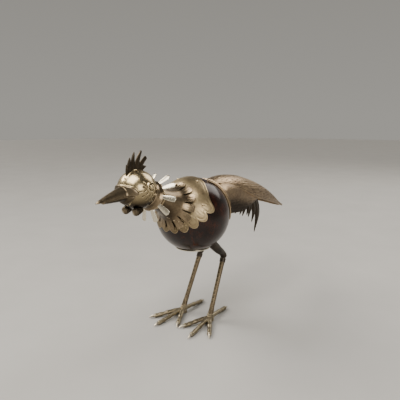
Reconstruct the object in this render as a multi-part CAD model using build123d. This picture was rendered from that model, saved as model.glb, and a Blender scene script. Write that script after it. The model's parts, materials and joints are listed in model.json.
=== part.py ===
"""Wind-up hopping chicken: a polished nut body in chased silver mounts, with a hopping clockwork inside.

The bird faces -Y, its left side is +X, it stands on z = 0, and the nut's centre is above the origin.
All sizes are in millimetres.
"""

from build123d import *
import os
from math import acos, atan2, cos, degrees, pi, radians, sin, sqrt, tan

# Nut and its mounts
NUT_R = 28.0
NUT_Z = 85.3
NUT_WALL = 2.8
PLATE_T = 0.7
PLATE_R = NUT_R + PLATE_T
BREAST_TILT = 42.0
BREAST_LOBES = 10
BREAST_REACH = 0.74 * PLATE_R
LOBE_SPREAD = 172.0
LOBE_R = 3.9
RUMP_TILT = 37.0
BELLY_HALF_ANGLE = 28.0
DOOR_W = 17.5
DOOR_H = 31.0
DOOR_SHIFT = -4.0

# Neck and head, measured along the neck axis from the nut's centre
NECK_RISE = 24.1
NECK_TUBE_R = 5.5
COLLAR_TOP = 46.2
COLLAR_SLITS = 13
SLEEVE_R = 6.8
HEAD_S = 65.7
HEAD_R = 12.78
HEAD_WALL = 1.1
RUFF_S = 50.4
RUFF_PETALS = 10
RUFF_TURN = 2
TURN_GAP = 0.06

# Legs
HIP_Z = 69.0
LEG_X = 11.2
HIP_SHAFT_R = 1.5
KNEE = (11.14, 26.94, 47.83)
FOOT_HUB = (13.07, 4.58, 4.4)
TOES = ((-12.1, 24.6), (3.1, 33.4), (15.6, 24.5), (-1.4, -28.3))
CLAW_LENGTH = 4.6
HOP_BACK = 5
HOP_FORWARD = 5

# Clockwork
PLATE_IN = 6.5
FRAME_T = 1.0
MODULE = 0.4
GREAT_TEETH = 40
SECOND_PINION = 10
SECOND_TEETH = 36
CRANK_PINION = 9
THIRD_TEETH = 30
FLY_PINION = 8
PRESSURE_ANGLE = radians(20)
TOOTH_FILL = 0.42
ARBOR_R = 0.6
WINDING_R = 1.2
BORE_GAP = 0.05
CRANK_THROW = 1.1
CRANK_PIN_R = 0.6
KEY_X = -29.0
RATCHET_TEETH = 12


def along(start, distance, angle):
    """The point at a distance from a start in the side view, with the angle measured from +Y to +Z."""
    return (start[0] + distance * cos(radians(angle)), start[1] + distance * sin(radians(angle)))


CRANK_AT = (0.0, 81.0)
SECOND_AT = along(CRANK_AT, MODULE * (SECOND_TEETH + CRANK_PINION) / 2, 75)
GREAT_AT = along(SECOND_AT, MODULE * (GREAT_TEETH + SECOND_PINION) / 2, -15)
FLY_AT = along(CRANK_AT, MODULE * (THIRD_TEETH + FLY_PINION) / 2, 155)
FOOT_BAR_AT = (4.0, 61.6)

NUT_CENTRE = Vector(0, 0, NUT_Z)
neck_place = Location(
    Plane(
        origin=NUT_CENTRE,
        x_dir=(1, 0, 0),
        z_dir=(0, -cos(radians(NECK_RISE)), sin(radians(NECK_RISE))),
    )
)
HEAD_CENTRE = neck_place * Pos(0, 0, HEAD_S)


def side_plane(x, at=(0, 0)):
    """A side-view plane at x, whose local axes run along +Y and +Z."""
    return Plane(origin=(x, at[0], at[1]), x_dir=(0, 1, 0), z_dir=(1, 0, 0))


def push(plane, outline, amount):
    """Extrudes an outline off its plane, along the plane's own normal."""
    return extrude(plane * outline, amount=amount, dir=plane.z_dir)


def rod(at, x0, x1, radius):
    """A round bar along X between x0 and x1."""
    return push(side_plane(x0, at), Circle(radius), x1 - x0)


def ring(at, x0, x1, outer, inner):
    """A round bar with a bore, along X."""
    return rod(at, x0, x1, outer) - rod(at, x0 - 1, x1 + 1, inner)


def side_plate(points, x0, x1):
    """A flat plate cut to a side-view outline."""
    return push(side_plane(x0), Polygon(*points, align=None), x1 - x0)


def ball(centre, radius):
    return Pos(*centre) * Sphere(radius)


def shell(outer, inner):
    return ball(NUT_CENTRE, outer) - ball(NUT_CENTRE, inner)


def cone_between(start, end, r_start, r_end):
    """A round tapered bar between two points."""
    line = Vector(*end) - Vector(*start)
    plane = Plane(origin=start, z_dir=line.normalized())
    length = line.length
    return loft([plane * Circle(r_start), plane.offset(length) * Circle(r_end)])


def mirrored(part):
    return mirror(part, about=Plane.YZ)


def neck_round(s0, s1, radius):
    """A round bar along the neck axis."""
    rod = Cylinder(radius, s1 - s0, align=(Align.CENTER, Align.CENTER, Align.MIN))
    return neck_place * Pos(0, 0, s0) * rod


def neck_ring(s0, s1, outer, inner):
    return neck_round(s0, s1, outer) - neck_round(s0 - 1, s1 + 1, inner)


# Nut and plates


def tilted_plane(tilt, side):
    """A plane at the nut's centre whose normal leans up from -Y or +Y."""
    normal = Vector(0, side * cos(radians(tilt)), sin(radians(tilt)))
    return Plane(origin=NUT_CENTRE, x_dir=(-side, 0, 0), z_dir=normal)


def leg_slot():
    """The slots through which both thighs leave the nut, with room for the hop."""
    lean = degrees(atan2(KNEE[2] - HIP_Z, KNEE[1]))
    start = side_plane(LEG_X - 4.1, (0, HIP_Z))
    slot = Sketch()
    for turn in range(-HOP_FORWARD, HOP_BACK + 1, 5):
        slot += Rot(0, 0, lean + turn) * Pos(12.5, 0) * Rectangle(19, 7.4)
    wide = push(start, slot, 8.2)
    return wide + mirrored(wide)


def rump_door():
    """The opening at the back of the nut through which the clockwork goes in."""
    plane = tilted_plane(RUMP_TILT, 1)
    return push(plane, Pos(0, DOOR_SHIFT) * RectangleRounded(DOOR_W, DOOR_H, 4), 40)


def make_nut_shell():
    nut = shell(NUT_R, NUT_R - NUT_WALL)
    nut -= neck_round(15, 35, NECK_TUBE_R)
    nut -= rump_door()
    nut -= leg_slot()
    nut -= rod(GREAT_AT, -35, -15, 3.0)
    for spot in screw_spots():
        nut -= spot * Cylinder(0.8, 20)
    return nut


def breast_outline():
    """A shield with a straight back edge and a scalloped lower edge."""
    back = [(0.86, -0.12), (0.62, 0.33), (0.4, 0.61), (0, 0.74)]
    right = [(x * PLATE_R, y * PLATE_R) for x, y in back]
    left = [(-x, y) for x, y in reversed(right[:-1])]
    outline = Circle(BREAST_REACH) - Pos(0, 25 - 0.12 * PLATE_R) * Rectangle(80, 50)
    outline += Polygon(*right, *left, align=None)
    for k in range(BREAST_LOBES):
        angle = -90 + LOBE_SPREAD * (k / (BREAST_LOBES - 1) - 0.5)
        outline += Rot(0, 0, angle) * Pos(BREAST_REACH, 0) * Circle(LOBE_R)
    return outline


def make_breast_plate():
    reach = push(tilted_plane(BREAST_TILT, -1), breast_outline(), 40)
    return (shell(PLATE_R, NUT_R) & reach) - neck_round(15, 35, NECK_TUBE_R)


def make_rump_mount():
    """The back cap, from its pair of front horns down over the clockwork's door."""
    right = [(0.14, 0.42), (0.39, 0.66), (0.53, 0.44), (0.7, 0.16)]
    right += [(0.84, -0.08), (0.86, -0.24), (0.6, -0.66)]
    outer = [(x * PLATE_R, y * PLATE_R) for x, y in right]
    outer += [(0, -0.78 * PLATE_R)]
    outer += [(-x, y) for x, y in reversed(outer[:-1])]
    reach = push(tilted_plane(RUMP_TILT, 1), Polygon(*outer, align=None), 40)
    return (shell(PLATE_R, NUT_R) & reach) - rod(GREAT_AT, -35, -15, 4.6)


def make_belly_plate():
    reach = Pos(0, 0, NUT_Z - NUT_R - 2) * Cylinder(NUT_R * sin(radians(BELLY_HALF_ANGLE)), 12)
    dish = (shell(PLATE_R, NUT_R) & reach) - leg_slot()
    for spot in screw_spots():
        dish -= spot * Cylinder(0.8, 20)
    return dish


def screw_spots():
    """Where the two belly screws stand, on the foot bar's line."""
    return [Pos(x, FOOT_BAR_AT[0], 58) for x in (-4.2, 4.2)]


def make_belly_screws():
    screws = Part()
    for spot in screw_spots():
        screw = spot * Pos(0, 0, 1.3) * Cylinder(0.8, 6.4)
        head = spot * Pos(0, 0, -2.4) * Cylinder(1.6, 1.4)
        screws += screw + (head - ball(NUT_CENTRE, PLATE_R))
    return screws


def plate_rivets(tilt, side, spots):
    """Small domed rivet heads that stand on a plate."""
    rivets = Part()
    for x, y in spots:
        z = sqrt(PLATE_R**2 - x**2 - y**2)
        rivets += Location(tilted_plane(tilt, side)) * Pos(x, y, z) * Sphere(0.9)
    return rivets - ball(NUT_CENTRE, PLATE_R)


def make_breast_rivets():
    return plate_rivets(BREAST_TILT, -1, [(-20.5, -2), (20.5, -2), (-9, 15.5), (9, 15.5)])


def make_rump_rivets():
    return plate_rivets(RUMP_TILT, 1, [(-20, -5), (20, -5), (-13, 14), (13, 14)])


# Neck


def make_neck_tube():
    tube = neck_ring(23.4, 56.2, NECK_TUBE_R, NECK_TUBE_R - 0.8)
    inner_flange = neck_ring(22.6, 23.4, NECK_TUBE_R + 1.4, NECK_TUBE_R - 0.8)
    head_flange = neck_ring(56.2, 57.0, NECK_TUBE_R + 1.1, NECK_TUBE_R - 0.8)
    return tube + inner_flange + head_flange


def collar_slit(k):
    turn = Rot(0, 0, 360 * (k + 0.5) / COLLAR_SLITS)
    return neck_place * turn * Pos(16.2, 0, 24) * Box(8, 0.9, 14)


def make_neck_collar():
    """A trumpet from the neck down onto the breast plate, with its rim slit into tongues."""
    outer = Spline((7.2, COLLAR_TOP), (8.4, 37), (11.2, 29), (17.6, 23.7))
    inner = Spline((NECK_TUBE_R, COLLAR_TOP - 1.2), (7.6, 36.6), (10.4, 28.5), (17.3, 22.95))
    top = Line((NECK_TUBE_R, COLLAR_TOP), (7.2, COLLAR_TOP))
    wall = Line((NECK_TUBE_R, COLLAR_TOP - 1.2), (NECK_TUBE_R, COLLAR_TOP))
    rim = Line((17.6, 23.7), (17.3, 22.95))
    profile = make_face([top, outer, rim, inner, wall])
    collar = neck_place * revolve(Plane.XZ * profile, Axis.Z)
    for k in range(COLLAR_SLITS):
        collar -= collar_slit(k)
    return collar - ball(NUT_CENTRE, PLATE_R)


# Head


def head_ball():
    return HEAD_CENTRE * Sphere(HEAD_R)


def make_head_shell():
    head = HEAD_CENTRE * (Sphere(HEAD_R) - Sphere(HEAD_R - HEAD_WALL))
    return head - neck_round(45, HEAD_S, SLEEVE_R)


def make_head_sleeve():
    bore = NECK_TUBE_R + TURN_GAP
    return neck_ring(COLLAR_TOP + 0.3, 56.0, SLEEVE_R, bore)


def make_ruff():
    """A collar ring behind the head with a wheel of blunt petals leaning back."""
    cup = neck_ring(RUFF_S, RUFF_S + 0.9, 9.8, SLEEVE_R)
    plane = Plane(origin=(9.0, 0, RUFF_S + 0.45), x_dir=(8, 0, -4.4), z_dir=(4.4, 0, 8))
    petal = extrude(plane * Pos(4.7, 0) * RectangleRounded(9.4, 4.0, 1.8), amount=0.35, both=True)
    for k in range(RUFF_PETALS):
        cup += neck_place * Rot(0, 0, 360 * k / RUFF_PETALS + RUFF_TURN) * petal
    return cup - neck_round(40, 60, SLEEVE_R)


def beak_section(y, z, width, height):
    plane = Plane(origin=(0, y, z), x_dir=(1, 0, 0), z_dir=(0, -1, 0))
    return plane * Ellipse(width, height)


def beak_block():
    """The whole horn of the beak, from inside the face to its tip."""
    sections = [(-66, 110.8, 7.2, 6.8), (-74, 110.6, 5.4, 5.0)]
    sections += [(-84, 110.0, 3.3, 3.1), (-94.2, 108.4, 0.7, 0.7)]
    horn = loft([beak_section(*section) for section in sections])
    return horn - head_ball()


def beak_split(z_back, z_front):
    """A slab below the line where the two halves of the beak meet."""
    line = [(-60, z_back), (-100, z_front), (-100, 60), (-60, 60)]
    return side_plate(line, -12, 12)


def make_beak_upper():
    return beak_block() - beak_split(107.6, 107.4)


def make_beak_lower():
    return beak_block() & beak_split(107.5, 107.3)


def make_eye():
    """A raised ring with a domed pupil on the side of the head."""
    at = (-60.0, 114.8)
    seat = rod(at, 9, 13.1, 3.4) - head_ball()
    pupil = rod(at, 13.1, 14.1, 1.9)
    return seat + pupil


def make_comb():
    """A fan of five pointed leaves standing on the crown."""
    roots = [(-66.6, 121.6), (-64.6, 122.6), (-61.8, 123.4), (-58.8, 123.6), (-56.0, 123.2)]
    tips = [(-68.3, 128.5), (-65.4, 132.8), (-61.4, 135.9), (-54.9, 136.8), (-50.4, 131.4)]
    base = [(-68.6, 116), (-68.4, 121.6), (-65, 125.6), (-58, 127), (-53.5, 124.4), (-55, 116)]
    comb = side_plate(base, -0.6, 0.6)
    for root, tip in zip(roots, tips):
        comb += comb_leaf(root, tip, 1.5)
    comb += comb_leaf((-55.4, 123.2), (-50.8, 126), 1.1)
    return comb - head_ball()


def comb_leaf(root, tip, half_width):
    run = (tip[0] - root[0], tip[1] - root[1])
    length = sqrt(run[0] ** 2 + run[1] ** 2)
    side = (-run[1] / length * half_width, run[0] / length * half_width)
    middle = (root[0] + 0.55 * run[0], root[1] + 0.55 * run[1])
    left = (middle[0] + side[0], middle[1] + side[1])
    right = (middle[0] - side[0], middle[1] - side[1])
    points = [root, left, tip, right]
    return side_plate(points, -0.6, 0.6)


def make_wattle(x):
    """One round lobe hanging under the chin, with its stem up into the head."""
    drop = ball((x, -65.2, 99.5), 2.7) + ball((x, -62.6, 100.1), 2.7)
    stem = cone_between((x, -62.8, 104.0), (x, -63.4, 100.2), 1.3, 1.5)
    return (drop + stem) - head_ball()


# Tail


def roof_station(y, ridge, half_width, drop, thickness=0.6):
    """A thin arch across the tail: its ridge, its half width and how far its rims hang."""
    plane = Plane(origin=(0, y, 0), x_dir=(1, 0, 0), z_dir=(0, -1, 0))
    wide = half_width
    low = ridge - drop
    shoulder = 0.66
    outer = ThreePointArc((-wide, low), (0, ridge), (wide, low))
    inner_width = wide - thickness
    inner = ThreePointArc((inner_width, low), (0, ridge - thickness * (1 + shoulder)), (-inner_width, low))
    right = Line((wide, low), (inner_width, low))
    left = Line((-inner_width, low), (-wide, low))
    return plane * make_face([outer, right, inner, left])


TAIL_STATIONS = [
    (22, 109.4, 7.0, 2.2),
    (36, 110.6, 11.0, 7.0),
    (56, 109.0, 13.0, 13.0),
    (80, 102.9, 12.6, 16.0),
    (105, 94.2, 10.4, 14.4),
    (130, 82.4, 6.8, 9.2),
    (149, 71.8, 3.4, 4.2),
    (160.3, 67.0, 1.3, 1.3),
]


def make_tail_top_plate():
    """The long drooping leaf that roofs the tail."""
    roof = loft([roof_station(*station) for station in TAIL_STATIONS])
    return roof - ball(NUT_CENTRE, PLATE_R)


def skirt_plane():
    """The left skirt's plane, which draws in towards the back."""
    lean = Vector(-4.6, 66, 0).normalized()
    return Plane(origin=(14.4, 24, 0), x_dir=lean, z_dir=lean.cross(Vector(0, 0, 1)))


def make_tail_side_left():
    """A side plate from the rump back under the roof, with feather tips along its lower edge."""
    low = [(-2, 84), (3, 81), (13.5, 80.4), (15, 83), (28.5, 76.6), (31, 81.5), (42, 76), (45, 80), (55, 73)]
    edge = low + [(54, 84), (52, 90), (32, 96), (20, 101), (10, 104.6), (2, 106), (-2, 104)]
    plate = push(skirt_plane(), Polygon(*edge, align=None), 0.8)
    return plate - ball(NUT_CENTRE, PLATE_R) - make_tail_top_plate()


def sickle(root, tip, bulge, width):
    """One hanging feather, a curved blade between a root and a tip in the skirt's plane."""
    middle = ((root[0] + tip[0]) / 2 + bulge, (root[1] + tip[1]) / 2)
    front = ThreePointArc((root[0] - width, root[1]), (middle[0] - width * 0.7, middle[1]), tip)
    back = ThreePointArc(tip, (middle[0] + width * 0.5, middle[1]), root)
    close = Line(root, (root[0] - width, root[1]))
    return push(skirt_plane().offset(-1.0), make_face([front, back, close]), 1.0)


def make_sickles_left():
    """Four dark hanging feathers soldered to the inner face of the left skirt."""
    feathers = sickle((37, 84), (36, 73), 1.2, 3.6)
    feathers += sickle((45, 86), (44, 68), 2.4, 4.2)
    feathers += sickle((54, 87), (57, 54.2), 6.4, 5.2)
    feathers += sickle((60, 86), (60, 63), 3.4, 4.0)
    return feathers - make_tail_top_plate()


def make_sickles_right():
    """The right side's feathers, all short, so that none hangs below the skirt."""
    feathers = sickle((37, 84), (36, 76.4), 0.8, 3.6)
    feathers += sickle((45, 86), (44, 75.8), 1.2, 4.2)
    feathers += sickle((54, 87), (54, 75.4), 1.6, 4.6)
    feathers += sickle((60, 86), (59.4, 76.4), 1.2, 4.0)
    return mirrored(feathers - make_tail_top_plate())


def make_tail_spine():
    """A bar inside the tail, soldered to the rump mount and to the underside of the roof."""
    strip = [(24, 103.5), (30, 105.5), (56, 103.4), (86, 96), (86, 98.2), (56, 105.6), (30, 107.7), (22, 105)]
    bar = side_plate(strip, -1.2, 1.2)
    return bar - ball(NUT_CENTRE, PLATE_R) - make_tail_top_plate()


# Legs


def make_thigh():
    """The upper leg from its hub on the hip shaft out of the nut to the knee."""
    hub = rod((0, HIP_Z), LEG_X - 3.0, LEG_X + 3.2, 3.5)
    leg = cone_between((LEG_X, 0, HIP_Z), KNEE, 3.1, 2.5)
    return hub + leg + ball(KNEE, 2.7) - rod((0, HIP_Z), 0, 30, HIP_SHAFT_R)


def shank_line():
    return Vector(*FOOT_HUB) - Vector(*KNEE)


def make_shank():
    """The scaly lower leg, with a row of pits down its front."""
    line = shank_line()
    start = Vector(*KNEE)
    leg = cone_between(tuple(start), tuple(start + line * 0.96), 2.1, 1.9)
    front = Vector(0, -1, 0.5).normalized()
    for k in range(10):
        spot = start + line * (0.17 + 0.075 * k) + front * 1.9
        leg -= Pos(*spot) * Sphere(0.5)
    return leg - ball(KNEE, 2.7) - make_thigh() - make_ferrule()


def make_ferrule():
    line = shank_line()
    start = Vector(*KNEE)
    sleeve = cone_between(tuple(start + line * 0.07), tuple(start + line * 0.14), 2.8, 2.6)
    core = cone_between(tuple(start), tuple(start + line * 0.2), 2.0, 2.0)
    return sleeve - core - make_thigh()


def toe_points(l, f):
    """A toe's root on the hub, its pad's end and its claw's tip."""
    hub = Vector(FOOT_HUB[0], FOOT_HUB[1], 3.2)
    tip = Vector(FOOT_HUB[0] + l, FOOT_HUB[1] - f, 1.2)
    line = tip - hub
    end = hub + line * (1 - CLAW_LENGTH / line.length)
    return hub, end, tip


def make_foot():
    """A hub with three toes forward and one back, flat where it stands."""
    hub = Cone(3.2, 2.6, 5.4, align=(Align.CENTER, Align.CENTER, Align.MIN))
    foot = Pos(FOOT_HUB[0], FOOT_HUB[1], 0) * hub
    for l, f in TOES:
        hub, end, _ = toe_points(l, f)
        foot += cone_between(tuple(hub), tuple(end), 2.0, 1.5)
        foot += ball(tuple(end), 1.62)
    floor = Pos(FOOT_HUB[0], FOOT_HUB[1], -5) * Box(80, 90, 10)
    return foot - floor


def make_claws(foot):
    """The bright nails at the ends of the toes."""
    claws = Part()
    floor = Pos(FOOT_HUB[0], FOOT_HUB[1], -5) * Box(80, 90, 10)
    for l, f in TOES:
        _, end, tip = toe_points(l, f)
        claws += cone_between(tuple(end), (tip.X, tip.Y, 0.8), 1.25, 0.35)
    return claws - foot - floor


def make_leg_lever():
    """The forked lever on the hip shaft that the crank pin drives."""
    hub = ring((0, HIP_Z), -4.2, -2.4, 3.0, HIP_SHAFT_R)
    arms = [(-3.9, 69), (-3.9, 82.9), (-2.7, 82.9), (-2.7, 75)]
    arms += [(2.7, 75), (2.7, 82.9), (3.9, 82.9), (3.9, 69)]
    return (hub + side_plate(arms, -4.0, -2.6)) - rod((0, HIP_Z), -9, 9, HIP_SHAFT_R)


def make_hip_shaft():
    return rod((0, HIP_Z), -LEG_X - 4.8, LEG_X + 4.8, HIP_SHAFT_R)


def make_hip_nuts():
    """A cap nut on each end of the hip shaft, outside the thighs."""
    nut = push(side_plane(LEG_X + 3.2, (0, HIP_Z)), RegularPolygon(2.4, 6), 1.6) - make_hip_shaft()
    return nut + mirrored(nut)


# Clockwork


def tooth_half_angle(radius, pitch_radius, teeth):
    """Half the angle that an involute tooth fills at a radius."""
    base = pitch_radius * cos(PRESSURE_ANGLE)
    at_pitch = TOOTH_FILL * pi / teeth + tan(PRESSURE_ANGLE) - PRESSURE_ANGLE
    if radius <= base:
        return at_pitch
    pressure = acos(base / radius)
    return at_pitch - tan(pressure) + pressure


def gear_outline(teeth, first_tooth):
    """A spur gear, with a tooth centred on the first_tooth angle in degrees."""
    pitch_radius = MODULE * teeth / 2
    base = pitch_radius * cos(PRESSURE_ANGLE)
    root = pitch_radius - 1.15 * MODULE
    tip = pitch_radius + 0.8 * MODULE
    flank = [root, max(base, root + 0.02), pitch_radius, (pitch_radius + tip) / 2, tip]
    points = []
    for k in range(teeth):
        middle = radians(first_tooth) + 2 * pi * k / teeth
        halves = [(r, tooth_half_angle(r, pitch_radius, teeth)) for r in flank]
        points += [(r * cos(middle - h), r * sin(middle - h)) for r, h in halves]
        points += [(r * cos(middle + h), r * sin(middle + h)) for r, h in reversed(halves)]
    return Polygon(*points, align=None)


def heading(a, b):
    """The angle from one arbor to another, in degrees."""
    return degrees(atan2(b[1] - a[1], b[0] - a[0]))


def gear(at, x0, x1, teeth, first_tooth):
    return push(side_plane(x0, at), gear_outline(teeth, first_tooth), x1 - x0)


def driver(at, mate, x0, x1, teeth):
    """A gear with a tooth pointing at its mate."""
    return gear(at, x0, x1, teeth, heading(at, mate))


def driven(at, mate, x0, x1, teeth):
    """A gear with a gap pointing at its mate."""
    return gear(at, x0, x1, teeth, heading(at, mate) + 180 / teeth)


def arbor(at, radius=ARBOR_R):
    """A shaft that runs in both frame plates."""
    return rod(at, -PLATE_IN - FRAME_T, PLATE_IN + FRAME_T, radius)


def polar(radius, angle):
    return (radius * cos(radians(angle)), radius * sin(radians(angle)))


def make_winding_arbor():
    """The spring's arbor: square outside the nut for the key, with a barrel inside the spring."""
    square = push(side_plane(KEY_X - 5, GREAT_AT), Rectangle(1.7, 1.7), 5.5)
    return rod(GREAT_AT, KEY_X, 7.5, WINDING_R) + square + rod(GREAT_AT, -6.2, 0.4, 1.8)


def make_winding_key():
    """A small butterfly key on the winding square."""
    hub = rod(GREAT_AT, KEY_X - 5, KEY_X + 0.6, 2.3)
    wings = Circle(3.6) - Circle(1.5)
    bow = Pos(0, 3.6) * wings + Pos(0, -3.6) * wings
    place = Plane(origin=(KEY_X - 3.7, *GREAT_AT), x_dir=(-1, 0, 0), z_dir=(0, 1, 0))
    bow = extrude(place * bow, amount=0.6, both=True)
    return (hub + bow) - make_winding_arbor()


def make_key_bush():
    """The bearing bush for the winding arbor in the nut's wall."""
    sleeve = ring(GREAT_AT, -27.4, -21.0, 3.0, WINDING_R + BORE_GAP)
    flange = ring(GREAT_AT, -27.4, -24, 4.4, WINDING_R + BORE_GAP)
    return sleeve + (flange - ball(NUT_CENTRE, NUT_R))


def make_mainspring():
    """Five turns of flat steel strip, from the arbor's barrel to the lower rear pillar."""
    strip = 0.3
    step = 0.45
    start = 1.85 + strip / 2
    half_turns = 10
    coil = Sketch()
    for k in range(half_turns):
        radius = start + step * k
        shift = step * (k % 2)
        half = Rot(0, 0, 180 * (k % 2)) * Pos(0, 20) * Rectangle(40, 40)
        coil += Pos(shift, 0) * ((Circle(radius + strip / 2) - Circle(radius - strip / 2)) & half)
    end = start + step * half_turns
    reach = SPRING_PILLAR_REACH - PILLAR_R
    start_tail = end - strip / 2
    coil += Pos((start_tail + reach) / 2, strip / 2) * Rectangle(reach - start_tail, strip)
    return push(side_plane(-6.0, GREAT_AT), Rot(0, 0, SPRING_PILLAR_ANGLE) * coil, 6.0)


def make_ratchet_wheel():
    """Twelve saw teeth, fixed on the winding arbor."""
    points = []
    for k in range(RATCHET_TEETH):
        angle = 360 * k / RATCHET_TEETH
        points += [polar(2.9, angle), polar(3.6, angle)]
    outline = Polygon(*points, align=None)
    return push(side_plane(0.6, GREAT_AT), outline, 1.0) - arbor(GREAT_AT, WINDING_R)


CLICK_PIVOT = polar(5.3, -62)
CLICK_RIDE = 7.5


def make_click():
    """The pawl that lets the key turn one way only, drawn riding on a tooth's tip."""
    inner = [polar(3.1, -1.5), polar(3.35, -9), polar(3.85, -22), polar(3.9, -48)]
    outer = [CLICK_PIVOT, polar(4.9, -44), polar(4.8, -25), polar(4.0, -1.5)]
    outline = Polygon(*inner, *outer, align=None) + Pos(*CLICK_PIVOT) * Circle(1.1)
    outline -= Pos(*CLICK_PIVOT) * Circle(0.5 + BORE_GAP)
    back = Pos(-CLICK_PIVOT[0], -CLICK_PIVOT[1])
    outline = Pos(*CLICK_PIVOT) * Rot(0, 0, -CLICK_RIDE) * back * outline
    return push(side_plane(0.7, GREAT_AT), outline, 0.9)


def make_click_spring():
    """A bent strip that presses the click into the ratchet."""
    points = [polar(6.7, 12), polar(5.5, -22), polar(5.25, -24), polar(6.3, 14)]
    return push(side_plane(0.9, GREAT_AT), Polygon(*points, align=None), 1.1)


def make_great_wheel():
    """The first wheel, loose on the winding arbor, with a stud for the click."""
    wheel = driver(GREAT_AT, SECOND_AT, 2.0, 3.0, GREAT_TEETH) + rod(GREAT_AT, 2.0, 4.4, 2.4)
    stud_at = (GREAT_AT[0] + CLICK_PIVOT[0], GREAT_AT[1] + CLICK_PIVOT[1])
    wheel += rod(stud_at, 0.6, 2.0, 0.5)
    return wheel - arbor(GREAT_AT, WINDING_R + BORE_GAP)


def make_second_wheel():
    pinion = driven(SECOND_AT, GREAT_AT, 1.8, 3.4, SECOND_PINION)
    return arbor(SECOND_AT) + pinion + driver(SECOND_AT, CRANK_AT, 3.4, 4.3, SECOND_TEETH)


def make_crank_wheel():
    """The third wheel's arbor, with the crank disc and pin that rock the legs."""
    wheel = driven(CRANK_AT, SECOND_AT, 3.2, 4.6, CRANK_PINION)
    wheel += arbor(CRANK_AT) + driver(CRANK_AT, FLY_AT, 4.8, 5.7, THIRD_TEETH)
    disc = rod(CRANK_AT, -2.2, -1.2, 2.3)
    pin = rod((CRANK_AT[0], CRANK_AT[1] + CRANK_THROW), -4.4, -2.2, CRANK_PIN_R)
    near = rod(CRANK_AT, -PLATE_IN - FRAME_T, -2.2, 2.0)
    return (wheel - near) + disc + pin


def make_fly():
    """The air brake: a two-bladed fan on the last pinion."""
    pinion = driven(FLY_AT, CRANK_AT, 4.6, 5.9, FLY_PINION)
    blade = push(side_plane(-2.0, FLY_AT), Rectangle(1.0, 7.4), 5.0)
    return arbor(FLY_AT) + pinion + blade


SPRING_PILLAR_REACH = 9.6
SPRING_PILLAR_ANGLE = -75
PILLAR_R = 0.9
SPRING_PILLAR = along(GREAT_AT, SPRING_PILLAR_REACH, SPRING_PILLAR_ANGLE)
PILLARS = (SPRING_PILLAR, (-9.0, 92.5), (-5.6, 70.5), (10.0, 70.5))


def frame_outline():
    points = [(-12, 82), (-12, 95), (0, 96.8), (14, 97), (22, 92)]
    points += [(22, 82), (11, 66.5), (-7.4, 66.5), (-10, 76)]
    return Polygon(*points, align=None)


def make_frame_plate(x0):
    """One of the two brass plates that carry every arbor."""
    plate = push(side_plane(x0), frame_outline(), FRAME_T)
    bores = [(GREAT_AT, WINDING_R), (SECOND_AT, ARBOR_R), (CRANK_AT, ARBOR_R), (FLY_AT, ARBOR_R)]
    bores += [((0, HIP_Z), HIP_SHAFT_R)]
    for at, radius in bores:
        plate -= rod(at, x0 - 1, x0 + 2, radius + BORE_GAP)
    for at in PILLARS:
        plate -= rod(at, x0 - 1, x0 + 2, 0.5)
    return plate


def make_frame_pillars():
    """Four posts between the plates, with spigots through them."""
    pillars = Part()
    for at in PILLARS:
        pillars += rod(at, -PLATE_IN, PLATE_IN, PILLAR_R)
        pillars += rod(at, -PLATE_IN - FRAME_T, PLATE_IN + FRAME_T, 0.5)
    return pillars


def make_pillar_nuts():
    nuts = Part()
    for at in PILLARS:
        nut = push(side_plane(PLATE_IN + FRAME_T, at), RegularPolygon(1.2, 6), 0.7)
        nuts += nut
        nuts += mirrored(nut)
    return nuts


def make_foot_bar():
    """The bar that stands the frame on the nut's floor and takes the belly screws."""
    y, z = FOOT_BAR_AT
    bar = Pos(0, y, z) * Box(15, 5, 1.6)
    legs = Pos(0, y, (z + 0.8 + 66.5) / 2) * Box(15, 5, 66.5 - z - 0.8)
    legs -= Pos(0, y, (z + 0.8 + 66.5) / 2) * Box(13, 6, 66.5 - z - 0.8)
    bar += legs
    for spot in screw_spots():
        bar -= spot * Cylinder(0.8, 20)
    return bar & ball(NUT_CENTRE, NUT_R - NUT_WALL)


def save(part, name):
    export_step(part, f"parts/{name}.step")


def save_body():
    save(make_nut_shell(), "nut_shell")
    save(make_breast_plate(), "breast_plate")
    save(make_breast_rivets(), "breast_rivets")
    save(make_rump_mount(), "rump_mount")
    save(make_rump_rivets(), "rump_rivets")
    save(make_belly_plate(), "belly_plate")
    save(make_belly_screws(), "belly_screws")
    save(make_neck_tube(), "neck_tube")
    save(make_neck_collar(), "neck_collar")
    save(make_tail_top_plate(), "tail_top_plate")
    save(make_tail_spine(), "tail_spine")
    side = make_tail_side_left()
    save(side, "tail_side_left")
    save(mirrored(side), "tail_side_right")
    save(make_sickles_left(), "sickle_feathers_left")
    save(make_sickles_right(), "sickle_feathers_right")


def save_head():
    save(make_head_shell(), "head_shell")
    save(make_head_sleeve(), "head_sleeve")
    save(make_ruff(), "ruff")
    save(make_beak_upper(), "beak_upper")
    save(make_beak_lower(), "beak_lower")
    eye = make_eye()
    save(eye, "eye_left")
    save(mirrored(eye), "eye_right")
    save(make_comb(), "comb")
    wattle = make_wattle(4.5)
    save(wattle, "wattle_left")
    save(mirrored(wattle), "wattle_right")


def save_legs():
    foot = make_foot()
    pieces = {
        "thigh": make_thigh(),
        "knee_ferrule": make_ferrule(),
        "shank": make_shank() - foot,
        "foot": foot,
        "claws": make_claws(foot),
    }
    for name, piece in pieces.items():
        save(piece, f"{name}_left")
        save(mirrored(piece), f"{name}_right")
    save(make_hip_shaft(), "hip_shaft")
    save(make_hip_nuts(), "hip_nuts")
    save(make_leg_lever(), "leg_lever")


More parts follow.
